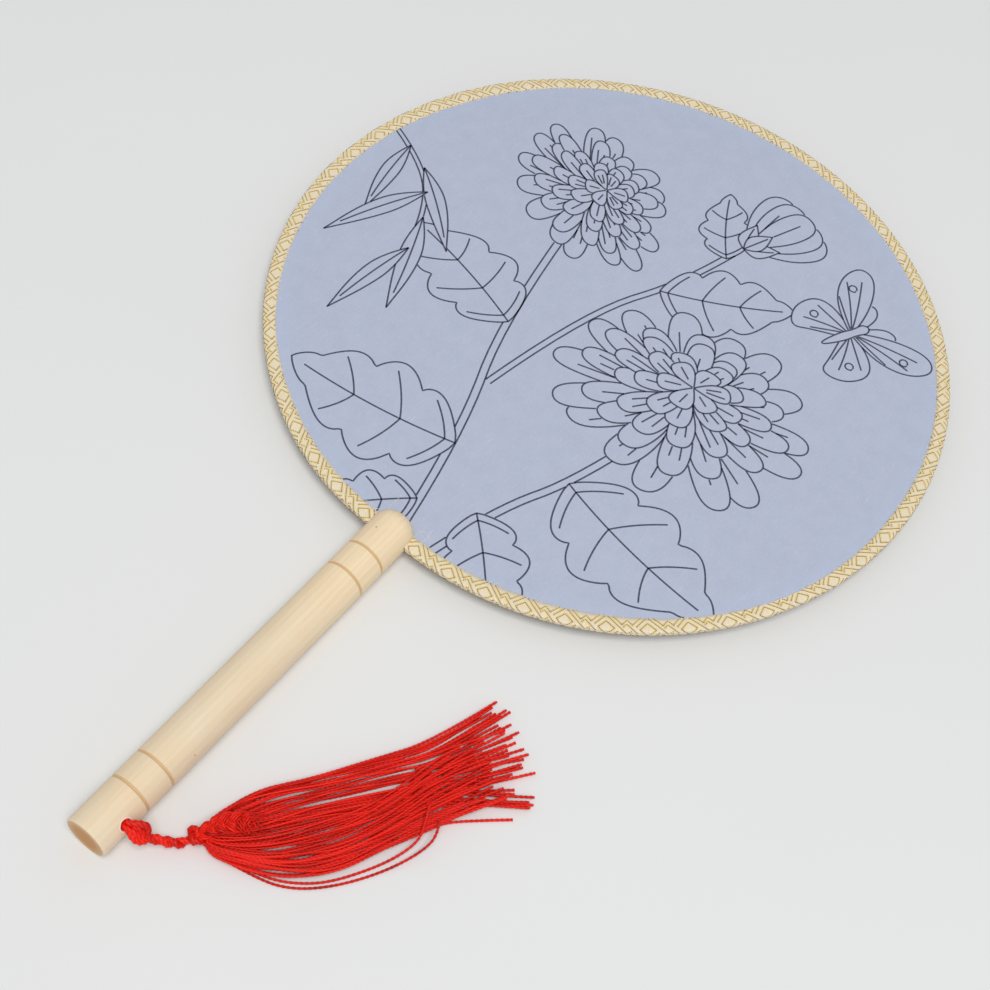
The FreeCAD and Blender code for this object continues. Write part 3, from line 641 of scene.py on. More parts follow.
draw_butterfly((62, 54), 62, 0.92)


def finer(line):
    """The line with points no further apart than the ink's step."""
    points = [line[0]]
    for start, end in zip(line, line[1:]):
        steps = max(1, math.ceil((end - start).length / INK_STEP))
        points.extend(start.lerp(end, step / steps) for step in range(1, steps + 1))
    return points


def inside(points, outline):
    """Which of the points lie inside the closed outline, by counting crossings to their right."""
    x, y = points[:, 0, None], points[:, 1, None]
    start, end = outline, np.roll(outline, -1, axis=0)
    spans = (start[:, 1] > y) != (end[:, 1] > y)
    rise = np.where(start[:, 1] == end[:, 1], 1, end[:, 1] - start[:, 1])
    crossing = start[:, 0] + (y - start[:, 1]) * (end[:, 0] - start[:, 0]) / rise
    return (spans & (x < crossing)).sum(axis=1) % 2 == 1


covers = [np.array([point.xy for point in outline]) if outline else None for outline, strokes in drawing]
ink_lines = []
ink_level = Vector((face_centre.x, face_centre.y, front_high.z + INK_HEIGHT * 0.3))
for order, (outline, strokes) in enumerate(drawing):
    for line in ([outline] if outline else []) + list(strokes):
        line = finer(line)
        flat = np.array([point.xy for point in line])
        shown = np.hypot(flat[:, 0], flat[:, 1]) < INK_REACH
        for cover in covers[order + 1 :]:
            if cover is not None:
                shown &= ~inside(flat, cover)
        run = []
        for point, seen in zip(line + line[-1:], [*shown, False]):
            if seen:
                run.append(point + ink_level)
            elif len(run) > 2:
                ink_lines.append(run)
                run = []
            else:
                run = []


def edges_of(name, lines, girths=None):
    """An object of bare edges, one chain for each line. girths gives each line's thickness along it."""
    vertices, edges, thickness = [], [], []
    for order, line in enumerate(lines):
        first = len(vertices)
        vertices.extend(line)
        edges.extend((first + at, first + at + 1) for at in range(len(line) - 1))
        girth = girths[order] if girths else (1, 1)
        thickness.extend(np.interp(np.linspace(0, 1, len(line)), np.linspace(0, 1, len(girth)), girth))
    mesh = bpy.data.meshes.new(name)
    mesh.from_pydata(vertices, edges, [])
    mesh.attributes.new("girth", "FLOAT", "POINT").data.foreach_set("value", thickness)
    chains = bpy.data.objects.new(name, mesh)
    bpy.context.scene.collection.objects.link(chains)
    return chains


def new_tree(name, sizes):
    """A geometry tree with a named input for each size, and its input node's sockets."""
    tree = bpy.data.node_groups.new(name, "GeometryNodeTree")
    tree.interface.new_socket("Geometry", in_out="INPUT", socket_type="NodeSocketGeometry")
    for size, kind in sizes.items():
        tree.interface.new_socket(size, in_out="INPUT", socket_type=f"NodeSocket{kind}")
    tree.interface.new_socket("Geometry", in_out="OUTPUT", socket_type="NodeSocketGeometry")
    return tree, tree.nodes.new("NodeGroupInput").outputs


def made_by(tree, source, sizes):
    """Run the tree on the source object and keep the result as its plain mesh."""
    modifier = source.modifiers.new(tree.name, "NODES")
    modifier.node_group = tree
    for socket in tree.interface.items_tree:
        if socket.in_out == "INPUT" and socket.name in sizes:
            modifier[socket.identifier] = sizes[socket.name]
    evaluated = source.evaluated_get(bpy.context.evaluated_depsgraph_get())
    mesh = bpy.data.meshes.new_from_object(evaluated)
    source.modifiers.clear()
    source.data = mesh


# Ink tree: each chain of edges becomes a low flat line that lies level on the paper.
ink_tree, size = new_tree("printed_line", {"Width": "Float", "Height": "Float", "Material": "Material"})
chain = add(ink_tree, "GeometryNodeMeshToCurve", {"Mesh": size["Geometry"]})
level = add(ink_tree, "GeometryNodeSetCurveNormal", {"Curve": chain}, mode="Z_UP")
section = {"Width": size["Width"], "Height": size["Height"]}
section = add(ink_tree, "GeometryNodeCurvePrimitiveQuadrilateral", section)
line = {"Curve": level, "Profile Curve": section, "Fill Caps": True}
line = add(ink_tree, "GeometryNodeCurveToMesh", line)
real = add(ink_tree, "GeometryNodeRealizeInstances", {"Geometry": line})
finished = add(ink_tree, "GeometryNodeSetMaterial", {"Geometry": real, "Material": size["Material"]})
add(ink_tree, "NodeGroupOutput", {"Geometry": finished})

# Printing ink: slate grey, matt, a little uneven where the paper's pulp took less of it.
ink, tree = new_material("slate_printing_ink")
place = add(tree, "ShaderNodeTexCoord").outputs["Object"]
take = noise(tree, place, PAPER_PULP, 3.0)
slate = mixed(tree, share_of(tree, take, 0.4, 0.8), "#484c5c", "#616678")
surfaced(tree, {"Base Color": slate, "Roughness": 0.8, "Specular IOR Level": 0.25})
print_lines = edges_of("printed_drawing", ink_lines)
made_by(ink_tree, print_lines, {"Width": INK_WIDTH, "Height": INK_HEIGHT, "Material": ink})
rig.ride(print_lines, "fan")
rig.slot(print_lines, "face_paper")
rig.sheet(
    front_paper, flat=paper_cut, held="stretched", rests_on=["hoop"], area=paper_area,
    with_pieces=[print_lines],
)
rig.sheet(back_paper, flat=paper_cut, held="stretched", rests_on=["hoop"], area=paper_area)


# Ribbon: a woven brocade ribbon folded over the rim and pasted to both papers and the hoop. Its cut ends
# meet inside the handle's slot, and its inner edges fray a little. The front lip is wider in some places
# than in others.
RIBBON_TOP = (trim_high.z - trim_low.z) / 2
LIP = 4.4 * mm
RIBBON_WIDTH = 2 * (LIP + RIBBON_TOP)
RIBBON_THICKNESS = 0.3 * mm
FOLD_RADIUS = 0.7 * mm
RIBBON_STEPS = 720
RIBBON_STATIONS = (0, 1, 1.6, 2.5, 3.7, 4.05, 4.4, 4.75, 5.1)
LIP_ANGLES = (0, 16, 96, 128, 156, 200, 224, 245, 307, 334, 360)
LIP_EXTRA = (0.4, 0.1, 0.4, 0.1, 1.1, 0.3, -0.5, 0.3, 0.7, -0.8, 0.4)
WEAVE_PITCH = 0.42 * mm
WEAVE_RELIEF = 0.05 * mm
SLUB = (6 * mm, 0.5 * mm)
EDGE_FRAY = 0.1


def ribbon_place(angle, across, lift):
    """Place on the ribbon: angle round the rim, across from the front inner edge, lift off the outside."""
    on_back = across > RIBBON_WIDTH / 2
    reach = RIBBON_WIDTH - across if on_back else across
    lean = math.pi / 2
    flat = LIP - FOLD_RADIUS
    rim = rim_reach(angle)
    radius, rise = rim - LIP + reach, RIBBON_TOP
    if reach > flat + 2 * FOLD_RADIUS:
        lean = 0
        radius, rise = rim, RIBBON_WIDTH / 2 - reach
    elif reach > flat:
        lean = math.pi / 2 * (1 - (reach - flat) / (2 * FOLD_RADIUS))
        radius = rim - FOLD_RADIUS + FOLD_RADIUS * math.cos(lean)
        rise = RIBBON_TOP - FOLD_RADIUS + FOLD_RADIUS * math.sin(lean)
    radius += lift * math.cos(lean)
    rise += lift * math.sin(lean)
    spot = Vector((radius * math.cos(angle), radius * math.sin(angle), -rise if on_back else rise))
    return face_centre + spot


def lip_extra(angle):
    """How much wider than the plain lip the front one is at that angle."""
    return np.interp(math.degrees(angle) % 360, LIP_ANGLES, LIP_EXTRA) * mm


# Woven silk brocade: cream satin ground with a fine plain weave that breaks the light, and painted shade,
# warmer and darker, in the weave's hollows.
brocade, tree = new_material("woven_silk_brocade")
woven = add(tree, "ShaderNodeUVMap", uv_map="across_and_round")
weave_scale = (1 / WEAVE_PITCH, 1 / WEAVE_PITCH, 1)
weave_space = add(tree, "ShaderNodeMapping", {"Vector": woven, "Scale": weave_scale})
weave = add(tree, "ShaderNodeTexChecker", {"Vector": weave_space, "Scale": 1.0}).outputs["Fac"]
slub_space = add(tree, "ShaderNodeMapping", {"Vector": woven, "Scale": (1 / SLUB[0], 1 / SLUB[1], 1)})
slub = noise(tree, slub_space, 1, 2.0)
ground = mixed(tree, share_of(tree, slub, 0.35, 0.7), "#efe4cc", "#e8d9ba")
# Painted shade: the weave's hollows are made darker and warmer.
ground = mixed(tree, reckoned(tree, "MULTIPLY", weave, 0.3), ground, "#dfcfa8")
weave_bump = bumped(tree, reckoned(tree, "ADD", weave, slub), 0.4, WEAVE_RELIEF)
surfaced(tree, {"Base Color": ground, "Roughness": 0.55, "Normal": weave_bump, "Sheen Weight": 0.15})

draw = random.Random(9)
stations = [station * mm for station in RIBBON_STATIONS]
stations += [RIBBON_WIDTH - station for station in stations[::-1]]
section = [(across, 0.0) for across in stations] + [(across, -RIBBON_THICKNESS) for across in stations[::-1]]
vertices, faces, weave_places = [], [], []
for step in range(RIBBON_STEPS):
    angle = math.tau * step / RIBBON_STEPS
    front_fray = draw.gauss(0, EDGE_FRAY) * mm - lip_extra(angle)
    frays = {0.0: front_fray, RIBBON_WIDTH: draw.gauss(0, EDGE_FRAY) * mm}
    for across, lift in section:
        vertices.append(ribbon_place(angle, across + frays.get(across, 0.0), lift))
for step in range(RIBBON_STEPS):
    first, after = step * len(section), (step + 1) % RIBBON_STEPS * len(section)
    for at in range(len(section)):
        beside = (at + 1) % len(section)
        faces.append((first + at, after + at, after + beside, first + beside))
        for around, station in ((step, at), (step + 1, at), (step + 1, beside), (step, beside)):
            weave_places.append((section[station][0], around / RIBBON_STEPS * math.tau * RIM_RADIUS))
ribbon = finished_mesh("folded_ribbon", vertices, faces, brocade)
weave_map = ribbon.data.uv_layers.new(name="across_and_round")
for loop, spot in zip(weave_map.data, weave_places):
    loop.uv = spot
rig.ride(ribbon, "fan")
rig.replaces(ribbon, "edge_trim")
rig.slot(ribbon, "trim_ribbon")


# Fret: the ribbon's woven key pattern, diamonds between broken zigzags, on both sides of the fan. Each line
# is a gold thread on a float of yellow silk. The ribbon was pasted on by hand, so the pattern wanders
# across it, and it is cut off by the inner edges and halfway over the rim.
FRET_REPEATS = 57
FRET_PITCH = 12 * mm
FRET_TURN = math.radians(6.36)
FRET_START = math.radians(-93.6)
GOLD_DIAMETER = 0.36 * mm
GOLD_LAY = 1.3 * mm
FLOAT_WIDTH = 0.8 * mm
FLOAT_HEIGHTS = (0.03 * mm, 0.045 * mm)
FRET_STEP = 0.55 * mm
FRET = [
    [(0, 0.6), (2.35, 2.85), (0, 5.1), (-2.35, 2.85), (0, 0.6)],
    [(0, -1.45), (6, 4.5), (7.2, 3.4)],
    [(11.75, 6.9), (5.9, 1.15), (4.85, 2.2)],
    [(1.2, -1.9), (4.5, 1.35), (6.05, -0.2), (7.55, 1.3), (10.8, -1.9)],
    [(1.9, 6.9), (4.45, 4.4), (5.95, 5.9), (7.5, 4.35), (10.1, 6.9)],
    [(12, -1.45), (8.65, 1.95)],
    [(0.25, 6.9), (3.35, 3.75)],
]
WANDER_ANGLES = (0, 15, 72, 104, 128, 160, 182, 212, 240, 262, 280, 330, 345, 360)
WANDER = (-0.5, -0.9, -1.4, -1.1, -1.7, -2.1, -2.1, -1.2, -0.5, 0.2, 0.6, 0.85, 0.4, -0.5)
CUT_MARGIN = 0.08 * mm
CUT_DEPTH = 0.55 * mm
FRET_LIMIT = RIBBON_WIDTH / 2


def fret_place(spot, lift):
    """A point of the flat fret, along and across in metres, as a place on the ribbon."""
    return ribbon_place(spot.x / FRET_PITCH * FRET_TURN, spot.y, lift)


gold_lines, gold_woven, float_vertices, float_woven, float_faces = [], [], [], [], []
for on_back in (False, True):
    for corners in FRET:
        flat_line = [Vector(corner) * mm for corner in corners]
        if on_back:
            flat_line = [Vector((spot.x + FRET_PITCH / 2, RIBBON_WIDTH - spot.y)) for spot in flat_line]
        for leg, (start, end) in enumerate(zip(flat_line, flat_line[1:])):
            gold_line = []
            height = FLOAT_HEIGHTS[leg % 2]
            steps = math.ceil((end - start).length / FRET_STEP)
            side = Vector((start.y - end.y, end.x - start.x)).normalized() * (FLOAT_WIDTH / 2)
            if on_back:
                side = -side
            for step in range(steps + 1):
                spot = start.lerp(end, step / steps)
                gold_line.append(fret_place(spot, 0))
                gold_woven.extend((spot.y, 0, on_back))
                if step:
                    corner = len(float_vertices)
                    for edge in range(4):
                        after = corner - 4 + (edge + 1) % 4
                        float_faces.append((corner - 4 + edge, after, after + 4, corner + edge))
                for place, lift in ((-side, height), (side, height), (side, -height), (-side, -height)):
                    float_vertices.append(fret_place(spot + place, lift))
                    float_woven.extend((spot.y + place.y, lift, on_back))
            last = len(float_vertices)
            float_faces.append((last - 1, last - 2, last - 3, last - 4))
            first = last - 4 * (steps + 1)
            float_faces.append((first, first + 1, first + 2, first + 3))
            gold_lines.append(gold_line)

# Yarn tree: each chain of edges becomes a yarn of twisted plies, a lobed tube that turns once in each lay.
yarn_sizes = {"Diameter": "Float", "Plies": "Int", "Ply Depth": "Float", "Lay": "Float", "Step": "Float"}
yarn_sizes |= {"Sides": "Int", "Material": "Material"}
yarn_tree, size = new_tree("twisted_yarn", yarn_sizes)
chain = add(yarn_tree, "GeometryNodeMeshToCurve", {"Mesh": size["Geometry"]})
chain = add(yarn_tree, "GeometryNodeResampleCurve", {"Curve": chain}, mode="LENGTH")
yarn_tree.links.new(size["Step"], chain.inputs["Length"])
along = add(yarn_tree, "GeometryNodeSplineParameter").outputs["Length"]
tilt = reckoned(yarn_tree, "MULTIPLY", reckoned(yarn_tree, "DIVIDE", along, size["Lay"]), math.tau)
tilted = add(yarn_tree, "GeometryNodeSetCurveTilt", {"Curve": chain, "Tilt": tilt})
kept = add(yarn_tree, "GeometryNodeCaptureAttribute", {"Geometry": tilted}, domain="POINT")
kept.capture_items.new("FLOAT", "Along")
yarn_tree.links.new(along, kept.inputs["Along"])
index = add(yarn_tree, "GeometryNodeInputIndex")
shade = add(yarn_tree, "FunctionNodeRandomValue", {"ID": index, "Seed": 5})
own = add(yarn_tree, "GeometryNodeCaptureAttribute", {"Geometry": kept.outputs["Geometry"]}, domain="CURVE")
own.capture_items.new("FLOAT", "Shade")
yarn_tree.links.new(shade.outputs[1], own.inputs["Shade"])
ring = add(yarn_tree, "GeometryNodeCurvePrimitiveCircle", {"Resolution": size["Sides"], "Radius": 0.5})
round_ring = add(yarn_tree, "GeometryNodeSplineParameter").outputs["Factor"]
ring_angle = reckoned(yarn_tree, "MULTIPLY", round_ring, math.tau)
lobe_wave = reckoned(yarn_tree, "COSINE", reckoned(yarn_tree, "MULTIPLY", ring_angle, size["Plies"]))
lobe = reckoned(yarn_tree, "SUBTRACT", lobe_wave, 1.0)
lobe = reckoned(yarn_tree, "MULTIPLY_ADD", lobe, size["Ply Depth"], 1.0)
lobe = reckoned(yarn_tree, "MULTIPLY", lobe, size["Diameter"])
ring_place = add(yarn_tree, "GeometryNodeInputPosition")
lobed = add(yarn_tree, "ShaderNodeVectorMath", {"Vector": ring_place, "Scale": lobe}, operation="SCALE")
profile = add(yarn_tree, "GeometryNodeSetPosition", {"Geometry": ring, "Position": lobed})
# The hollow between the plies is kept, so that the red yarn can paint shade there.
profile = add(yarn_tree, "GeometryNodeCaptureAttribute", {"Geometry": profile}, domain="POINT")
profile.capture_items.new("FLOAT", "Hollow")
hollow = reckoned(yarn_tree, "MULTIPLY_ADD", lobe_wave, -0.5, 0.5)
yarn_tree.links.new(hollow.outputs[0], profile.inputs["Hollow"])
girth = add(yarn_tree, "GeometryNodeInputNamedAttribute", {"Name": "girth"}, data_type="FLOAT")
tube = {"Curve": own.outputs["Geometry"], "Profile Curve": profile.outputs["Geometry"]}
tube = add(yarn_tree, "GeometryNodeCurveToMesh", tube | {"Scale": girth, "Fill Caps": True})
captured = {"along": kept.outputs["Along"], "shade": own.outputs["Shade"]}
captured |= {"hollow": profile.outputs["Hollow"]}
for name, value in captured.items():
    tube = {"Geometry": tube, "Name": name, "Value": value}
    tube = add(yarn_tree, "GeometryNodeStoreNamedAttribute", tube, data_type="FLOAT")
real = add(yarn_tree, "GeometryNodeRealizeInstances", {"Geometry": tube})
finished = add(yarn_tree, "GeometryNodeSetMaterial", {"Geometry": real, "Material": size["Material"]})
add(yarn_tree, "NodeGroupOutput", {"Geometry": finished})

# Rim tree: one repeat of the fret is set round the face's centre, one turn further each time.
rim_sizes = {"Centre": "Vector", "Repeats": "Int", "Start": "Float", "Turn": "Float", "Material": "Material"}
rim_tree, size = new_tree("repeat_round_rim", rim_sizes)
away = add(rim_tree, "ShaderNodeVectorMath", {0: size["Centre"], "Scale": -1.0}, operation="SCALE")
centred = add(rim_tree, "GeometryNodeTransform", {"Geometry": size["Geometry"], "Translation": away})
hubs = add(rim_tree, "GeometryNodeMeshLine", {"Count": size["Repeats"], "Offset": (0, 0, 0)})
number = add(rim_tree, "GeometryNodeInputIndex")
turn = reckoned(rim_tree, "MULTIPLY_ADD", number, size["Turn"], size["Start"])
turned = add(rim_tree, "ShaderNodeCombineXYZ", {"Z": turn})
repeats = {"Points": hubs, "Instance": centred, "Rotation": turned}
repeats = add(rim_tree, "GeometryNodeInstanceOnPoints", repeats)
real = add(rim_tree, "GeometryNodeRealizeInstances", {"Geometry": repeats})
back = add(rim_tree, "GeometryNodeTransform", {"Geometry": real, "Translation": size["Centre"]})
finished = add(rim_tree, "GeometryNodeSetMaterial", {"Geometry": back, "Material": size["Material"]})
add(rim_tree, "NodeGroupOutput", {"Geometry": finished})

# Yellow silk floats: warm straw yellow with a soft shine along the filaments.
FILAMENTS = 0.36 * mm
SILK_RELIEF = 0.04 * mm
silk, tree = new_material("yellow_silk_float")
place = add(tree, "ShaderNodeTexCoord").outputs["Object"]
filaments = noise(tree, place, FILAMENTS, 2.0)
yellow = mixed(tree, filaments, "#efd189", "#f8e3a8")
silk_bump = bumped(tree, filaments, 0.3, SILK_RELIEF)
surfaced(tree, {"Base Color": yellow, "Roughness": 0.42, "Normal": silk_bump, "Sheen Weight": 0.2})

# Gilt thread: old gold, a twisted wrapped thread, brighter in patches where it is less worn.
GOLD_WEAR = 1.6 * mm
gilt, tree = new_material("old_gold_thread")
place = add(tree, "ShaderNodeTexCoord").outputs["Object"]
gold = mixed(tree, noise(tree, place, GOLD_WEAR, 2.0), "#86683a", "#a6844c")
surfaced(tree, {"Base Color": gold, "Roughness": 0.4})

floats = finished_mesh("yellow_floats", float_vertices, float_faces, silk)
floats.data.attributes.new("woven", "FLOAT_VECTOR", "POINT").data.foreach_set("vector", float_woven)
round_rim = {"Centre": face_centre, "Repeats": FRET_REPEATS, "Start": FRET_START, "Turn": FRET_TURN}
made_by(rim_tree, floats, round_rim | {"Material": silk})
gold_threads = edges_of("gold_fret_threads", gold_lines)
gold_threads.data.attributes.new("woven", "FLOAT_VECTOR", "POINT").data.foreach_set("vector", gold_woven)
gold_sizes = {"Diameter": GOLD_DIAMETER, "Plies": 2, "Ply Depth": 0.1, "Lay": GOLD_LAY, "Step": FRET_STEP}
made_by(yarn_tree, gold_threads, gold_sizes | {"Sides": 6, "Material": gilt})
made_by(rim_tree, gold_threads, round_rim | {"Material": gilt})
# Every repeat now lies as the first one does. Each point moves to the ribbon's place at its own angle,
# further across by the wander there, and sinks into the ribbon where the pattern is cut off.
for piece in (floats, gold_threads):
    woven = piece.data.attributes["woven"].data
    for vertex, woven_place in zip(piece.data.vertices, woven):
        across, lift, on_back = woven_place.vector
        offset = vertex.co - face_centre
        angle = math.atan2(offset.y, offset.x)
        was = ribbon_place(0, across, lift) - face_centre
        was = Vector((was.x * math.cos(angle), was.x * math.sin(angle), was.z))
        across += np.interp(math.degrees(angle) % 360, WANDER_ANGLES, WANDER) * mm
        from_edge = RIBBON_WIDTH - across if on_back else across
        cut_edge = 0 if on_back else -lip_extra(angle)
        if not cut_edge + CUT_MARGIN < from_edge < FRET_LIMIT:
            lift -= CUT_DEPTH
        vertex.co += ribbon_place(angle, across, lift) - face_centre - was
    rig.ride(piece, "fan")
    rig.slot(piece, "trim_ribbon")


# Loose fibres: short hairs of weft that have frayed out of the ribbon's front inner edge, and a few long
# ones that stick out beside the handle and lie on the paper.
FIBRE_DIAMETER = 0.11 * mm
FIBRE_STEP = 0.4 * mm
FIBRE_CLEAR = 0.3 * mm
FIBRE_ROOT = 0.25 * mm
ROOT_LIFT = 0.02 * mm
ROOT_FADE = 3 * mm
LONG_FIBRES = [
    [(-9.6, -106), (-10.6, -103), (-9.8, -101), (-10.3, -98.6)],
    [(2.3, -108), (2.2, -104.6), (4, -103.9), (6.6, -105.4)],
    [(5.2, -107.8), (5.6, -104.8), (4.6, -103.6), (5, -101.9)],
]
FRINGE_COUNT = 260
FRINGE_LENGTHS = (0.5, 1.5)
FRINGE_DROPS = (0.1, 0.25)
draw = random.Random(21)


def line_lengths(line):
    """Distance along the line at each of its points."""
    lengths = [0.0]
    for start, end in zip(line, line[1:]):
        lengths.append(lengths[-1] + (end - start).length)
    return lengths


# Bleached silk fibre: a fine pale hair with a faint sheen, a little creamier at the root.
hair, tree = new_material("bleached_silk_fibre")
along_hair = add(tree, "ShaderNodeAttribute", attribute_name="along").outputs["Fac"]
pale = mixed(tree, share_of(tree, along_hair, 0, ROOT_FADE), "#f3e9d2", "#f6f4ee")
surfaced(tree, {"Base Color": pale, "Roughness": 0.6, "Sheen Weight": 0.2})
paper_level = face_centre + Vector((0, 0, front_high.z - face_centre.z + FIBRE_CLEAR))
fibre_lines = []
for fibre in LONG_FIBRES:
    fibre_lines.append(spline_line([Vector((*spot, 0)) * mm + paper_level for spot in fibre]))
for fibre in range(FRINGE_COUNT):
    angle = draw.uniform(0, math.tau)
    root = ribbon_place(angle, FIBRE_ROOT - lip_extra(angle), ROOT_LIFT)
    inward = Vector((-math.cos(angle), -math.sin(angle), 0))
    beside = Vector((-inward.y, inward.x, 0)) * draw.gauss(0, 0.5)
    length = draw.uniform(*FRINGE_LENGTHS) * mm
    middle = root + (inward + beside * 0.4) * (length * 0.6)
    end = root + (inward + beside) * length
    end.z = paper_level.z - draw.uniform(*FRINGE_DROPS) * mm
    fibre_lines.append(spline_line([root, middle, end]))
loose_fibres = edges_of("loose_ribbon_fibres", fibre_lines)
fibre_sizes = {"Diameter": FIBRE_DIAMETER, "Plies": 1, "Ply Depth": 0.0, "Lay": 1.0, "Step": FIBRE_STEP}
made_by(yarn_tree, loose_fibres, fibre_sizes | {"Sides": 5, "Material": hair})
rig.ride(loose_fibres, "fan")
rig.slot(loose_fibres, "trim_ribbon")
rim_angles = [math.tau * step / RIBBON_STEPS for step in range(RIBBON_STEPS + 1)]
rim_line = [ribbon_place(angle, RIBBON_WIDTH / 2, 0) for angle in rim_angles]
ribbon_cut = (RIBBON_WIDTH, line_lengths(rim_line)[-1])
ribbon_pieces = [floats, gold_threads, loose_fibres]
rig.sheet(ribbon, flat=ribbon_cut, held="folded", rests_on=["hoop"], with_pieces=ribbon_pieces)


# Cord: two red strands knotted inside the far side of the handle. They come through the cross hole, droop
# out of its mouth one over the other, with two slack loops between them, and are twisted together as far as
# the tassel's head knot.
swing_joint = frame["record"]["behaviour"]["joints"][0]
swing = Vector(swing_joint["pos_m"])
swing.z = 0
HOLE_OFFSET = 9 * mm
HOLE_TILT = math.radians(23)
HOLE_START = -2.6 * mm
HOLE_MOUTH = 7 * mm
STRAND_OFFSET = 0.9 * mm
STRAND_DIAMETER = 1.75 * mm
STRAND_LAY = 4.6 * mm
STRAND_STEP = 0.35 * mm
STRAND_GIRTHS = (1.05, 1.15, 1.3, 1.3, 1.25, 1.2, 1.15, 1.1, 1)
SLACK_GIRTHS = (0.8, 0.8, 1.05, 1.35)
CORD_DIAMETER = 2.9 * mm
CORD_LAY = 7 * mm
BEND_END = (0.6, 0, 9.8)
UPPER_STRAND = [
    (-1, 1, 10.7), (0.4, 2.1, 10.9), (1.8, 3.2, 10), (2.7, 3.4, 8.8), (2.9, 2.7, 7.6), (2.9, 2, 6.6),
]
LOWER_STRAND = [
    (-0.6, -0.6, 8.9), (0.6, -1, 8.2), (2, -1, 7.2), (3, -0.2, 6.4), (3.5, 0.8, 5.9), (3.6, 1.5, 5.6),
]
SLACK_LOOPS = [
    [(0, 0.9, 9.8), (1.1, 1.6, 9.1), (2.1, 1.7, 7.8), (2.9, 1.9, 6.6)],
    [(-0.3, -0.4, 10), (0.9, -0.1, 9.2), (2, 0.3, 7.9), (2.9, 1, 6.6)],
]
TWISTED_CORD = [
    (3.6, 2.1, 5.7), (6.2, 4.2, 4.4), (8.5, 5.9, 3), (9.9, 7.2, 2.2), (10.8, 8.9, 2.2), (12.2, 11.3, 2.7),
]


def from_swing(points):
    """Points given in millimetres from the swing line, as places in the model."""
    return [swing + Vector(point) * mm for point in points]


# Dyed rayon yarn: saturated red, silky, each thread a little lighter or darker than its neighbours and
# along its own length, with painted shade darker between its plies, fine fibres and a soft sheen where
# it turns to the light.
FIBRE_WIDTH = 0.36 * mm
SHADE_DRIFT = 9 * mm
YARN_RELIEF = 0.05 * mm
rayon, tree = new_material("dyed_rayon_yarn")
place = add(tree, "ShaderNodeTexCoord").outputs["Object"]
thread_shade = add(tree, "ShaderNodeAttribute", attribute_name="shade").outputs["Fac"]
along_thread = add(tree, "ShaderNodeAttribute", attribute_name="along").outputs["Fac"]
ply_hollow_shade = add(tree, "ShaderNodeAttribute", attribute_name="hollow").outputs["Fac"]
fibres = noise(tree, place, FIBRE_WIDTH, 2.0)
drift = reckoned(tree, "MULTIPLY", along_thread, 1 / SHADE_DRIFT)
drift = reckoned(tree, "MULTIPLY_ADD", thread_shade, 90.0, drift)
drift = add(tree, "ShaderNodeTexNoise", {"W": drift, "Scale": 1.0, "Detail": 1.0}, noise_dimensions="1D")
tone_share = share_of(tree, reckoned(tree, "ADD", thread_shade, drift), 0.3, 1.35)
red = mixed(tree, tone_share, "#9c0200", "#ff2414")
red = mixed(tree, share_of(tree, fibres, 0.4, 0.9, 0, 0.6), red, "#ff3828")
# Painted shade: darker red in the hollows between the plies.
red = mixed(tree, share_of(tree, ply_hollow_shade, 0.45, 1, 0, 0.4), red, "#780300")
yarn_bump = bumped(tree, fibres, 0.35, YARN_RELIEF)
rayon_looks = {"Base Color": red, "Roughness": 0.42, "Normal": yarn_bump, "Specular IOR Level": 0.22}
rayon_looks |= {"Sheen Weight": 0.04, "Sheen Roughness": 0.4, "Sheen Tint": linear("#ff6a58")}
surfaced(tree, rayon_looks)

hole_centre = butt_centre + Vector((0, HOLE_OFFSET, 0))
hole_way = Vector((math.cos(HOLE_TILT), 0, math.sin(HOLE_TILT)))
hole_up = Vector((-math.sin(HOLE_TILT), 0, math.cos(HOLE_TILT)))
mouth = hole_centre + hole_way * HOLE_MOUTH
cord_line = spline_line(from_swing(TWISTED_CORD))


def twisted(line, lay, radius, turn):
    """The line wound round as one strand of a twisted cord, which starts at that turn."""
    wound = []
    for at, reached in enumerate(line_lengths(line)):
        way = way_at(line, at)
        side = way.cross(Vector((0, 0, 1))).normalized()
        angle = math.tau * (turn + reached / lay)
        wound.append(line[at] + (side * math.sin(angle) + side.cross(way) * math.cos(angle)) * radius)
    return wound


def in_hole(sideways):
    """Places along the hole, off its middle that way by a strand's offset."""
    offset = sideways.normalized() * STRAND_OFFSET
    return [hole_centre + hole_way * reach + offset for reach in (HOLE_START, 0, HOLE_MOUTH)]


strands, girths = [], []
for turn, droop in enumerate((UPPER_STRAND, LOWER_STRAND)):
    sideways = hole_up + Vector((0, 0.8, 0))
    wound = twisted(cord_line, CORD_LAY, (CORD_DIAMETER - STRAND_DIAMETER) * 0.6, turn / 2)
    strands.append(spline_line(in_hole(-sideways if turn else sideways) + from_swing(droop) + wound[1::2]))
    girths.append(STRAND_GIRTHS)
for turn, droop in enumerate(SLACK_LOOPS):
    sideways = hole_up * 0.6 - Vector((0, 1, 0))
    strands.append(spline_line(in_hole(sideways if turn else -sideways) + from_swing(droop)))
    girths.append(SLACK_GIRTHS)
cord = edges_of("tassel_cord_strands", strands, girths)
strand_sizes = {"Plies": 3, "Ply Depth": 0.11, "Step": STRAND_STEP, "Sides": 15, "Material": rayon}
made_by(yarn_tree, cord, strand_sizes | {"Diameter": STRAND_DIAMETER, "Lay": STRAND_LAY})
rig.blend(cord, "fan", "cord", start=mouth, end=from_swing([BEND_END])[0])
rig.replaces(cord, "hole_strands", "mouth_strands", "tassel_cord")
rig.slot(cord, "tassel_thread")
between_strands = [(Vector(upper) + Vector(lower)) / 2 for upper, lower in zip(UPPER_STRAND, LOWER_STRAND)]
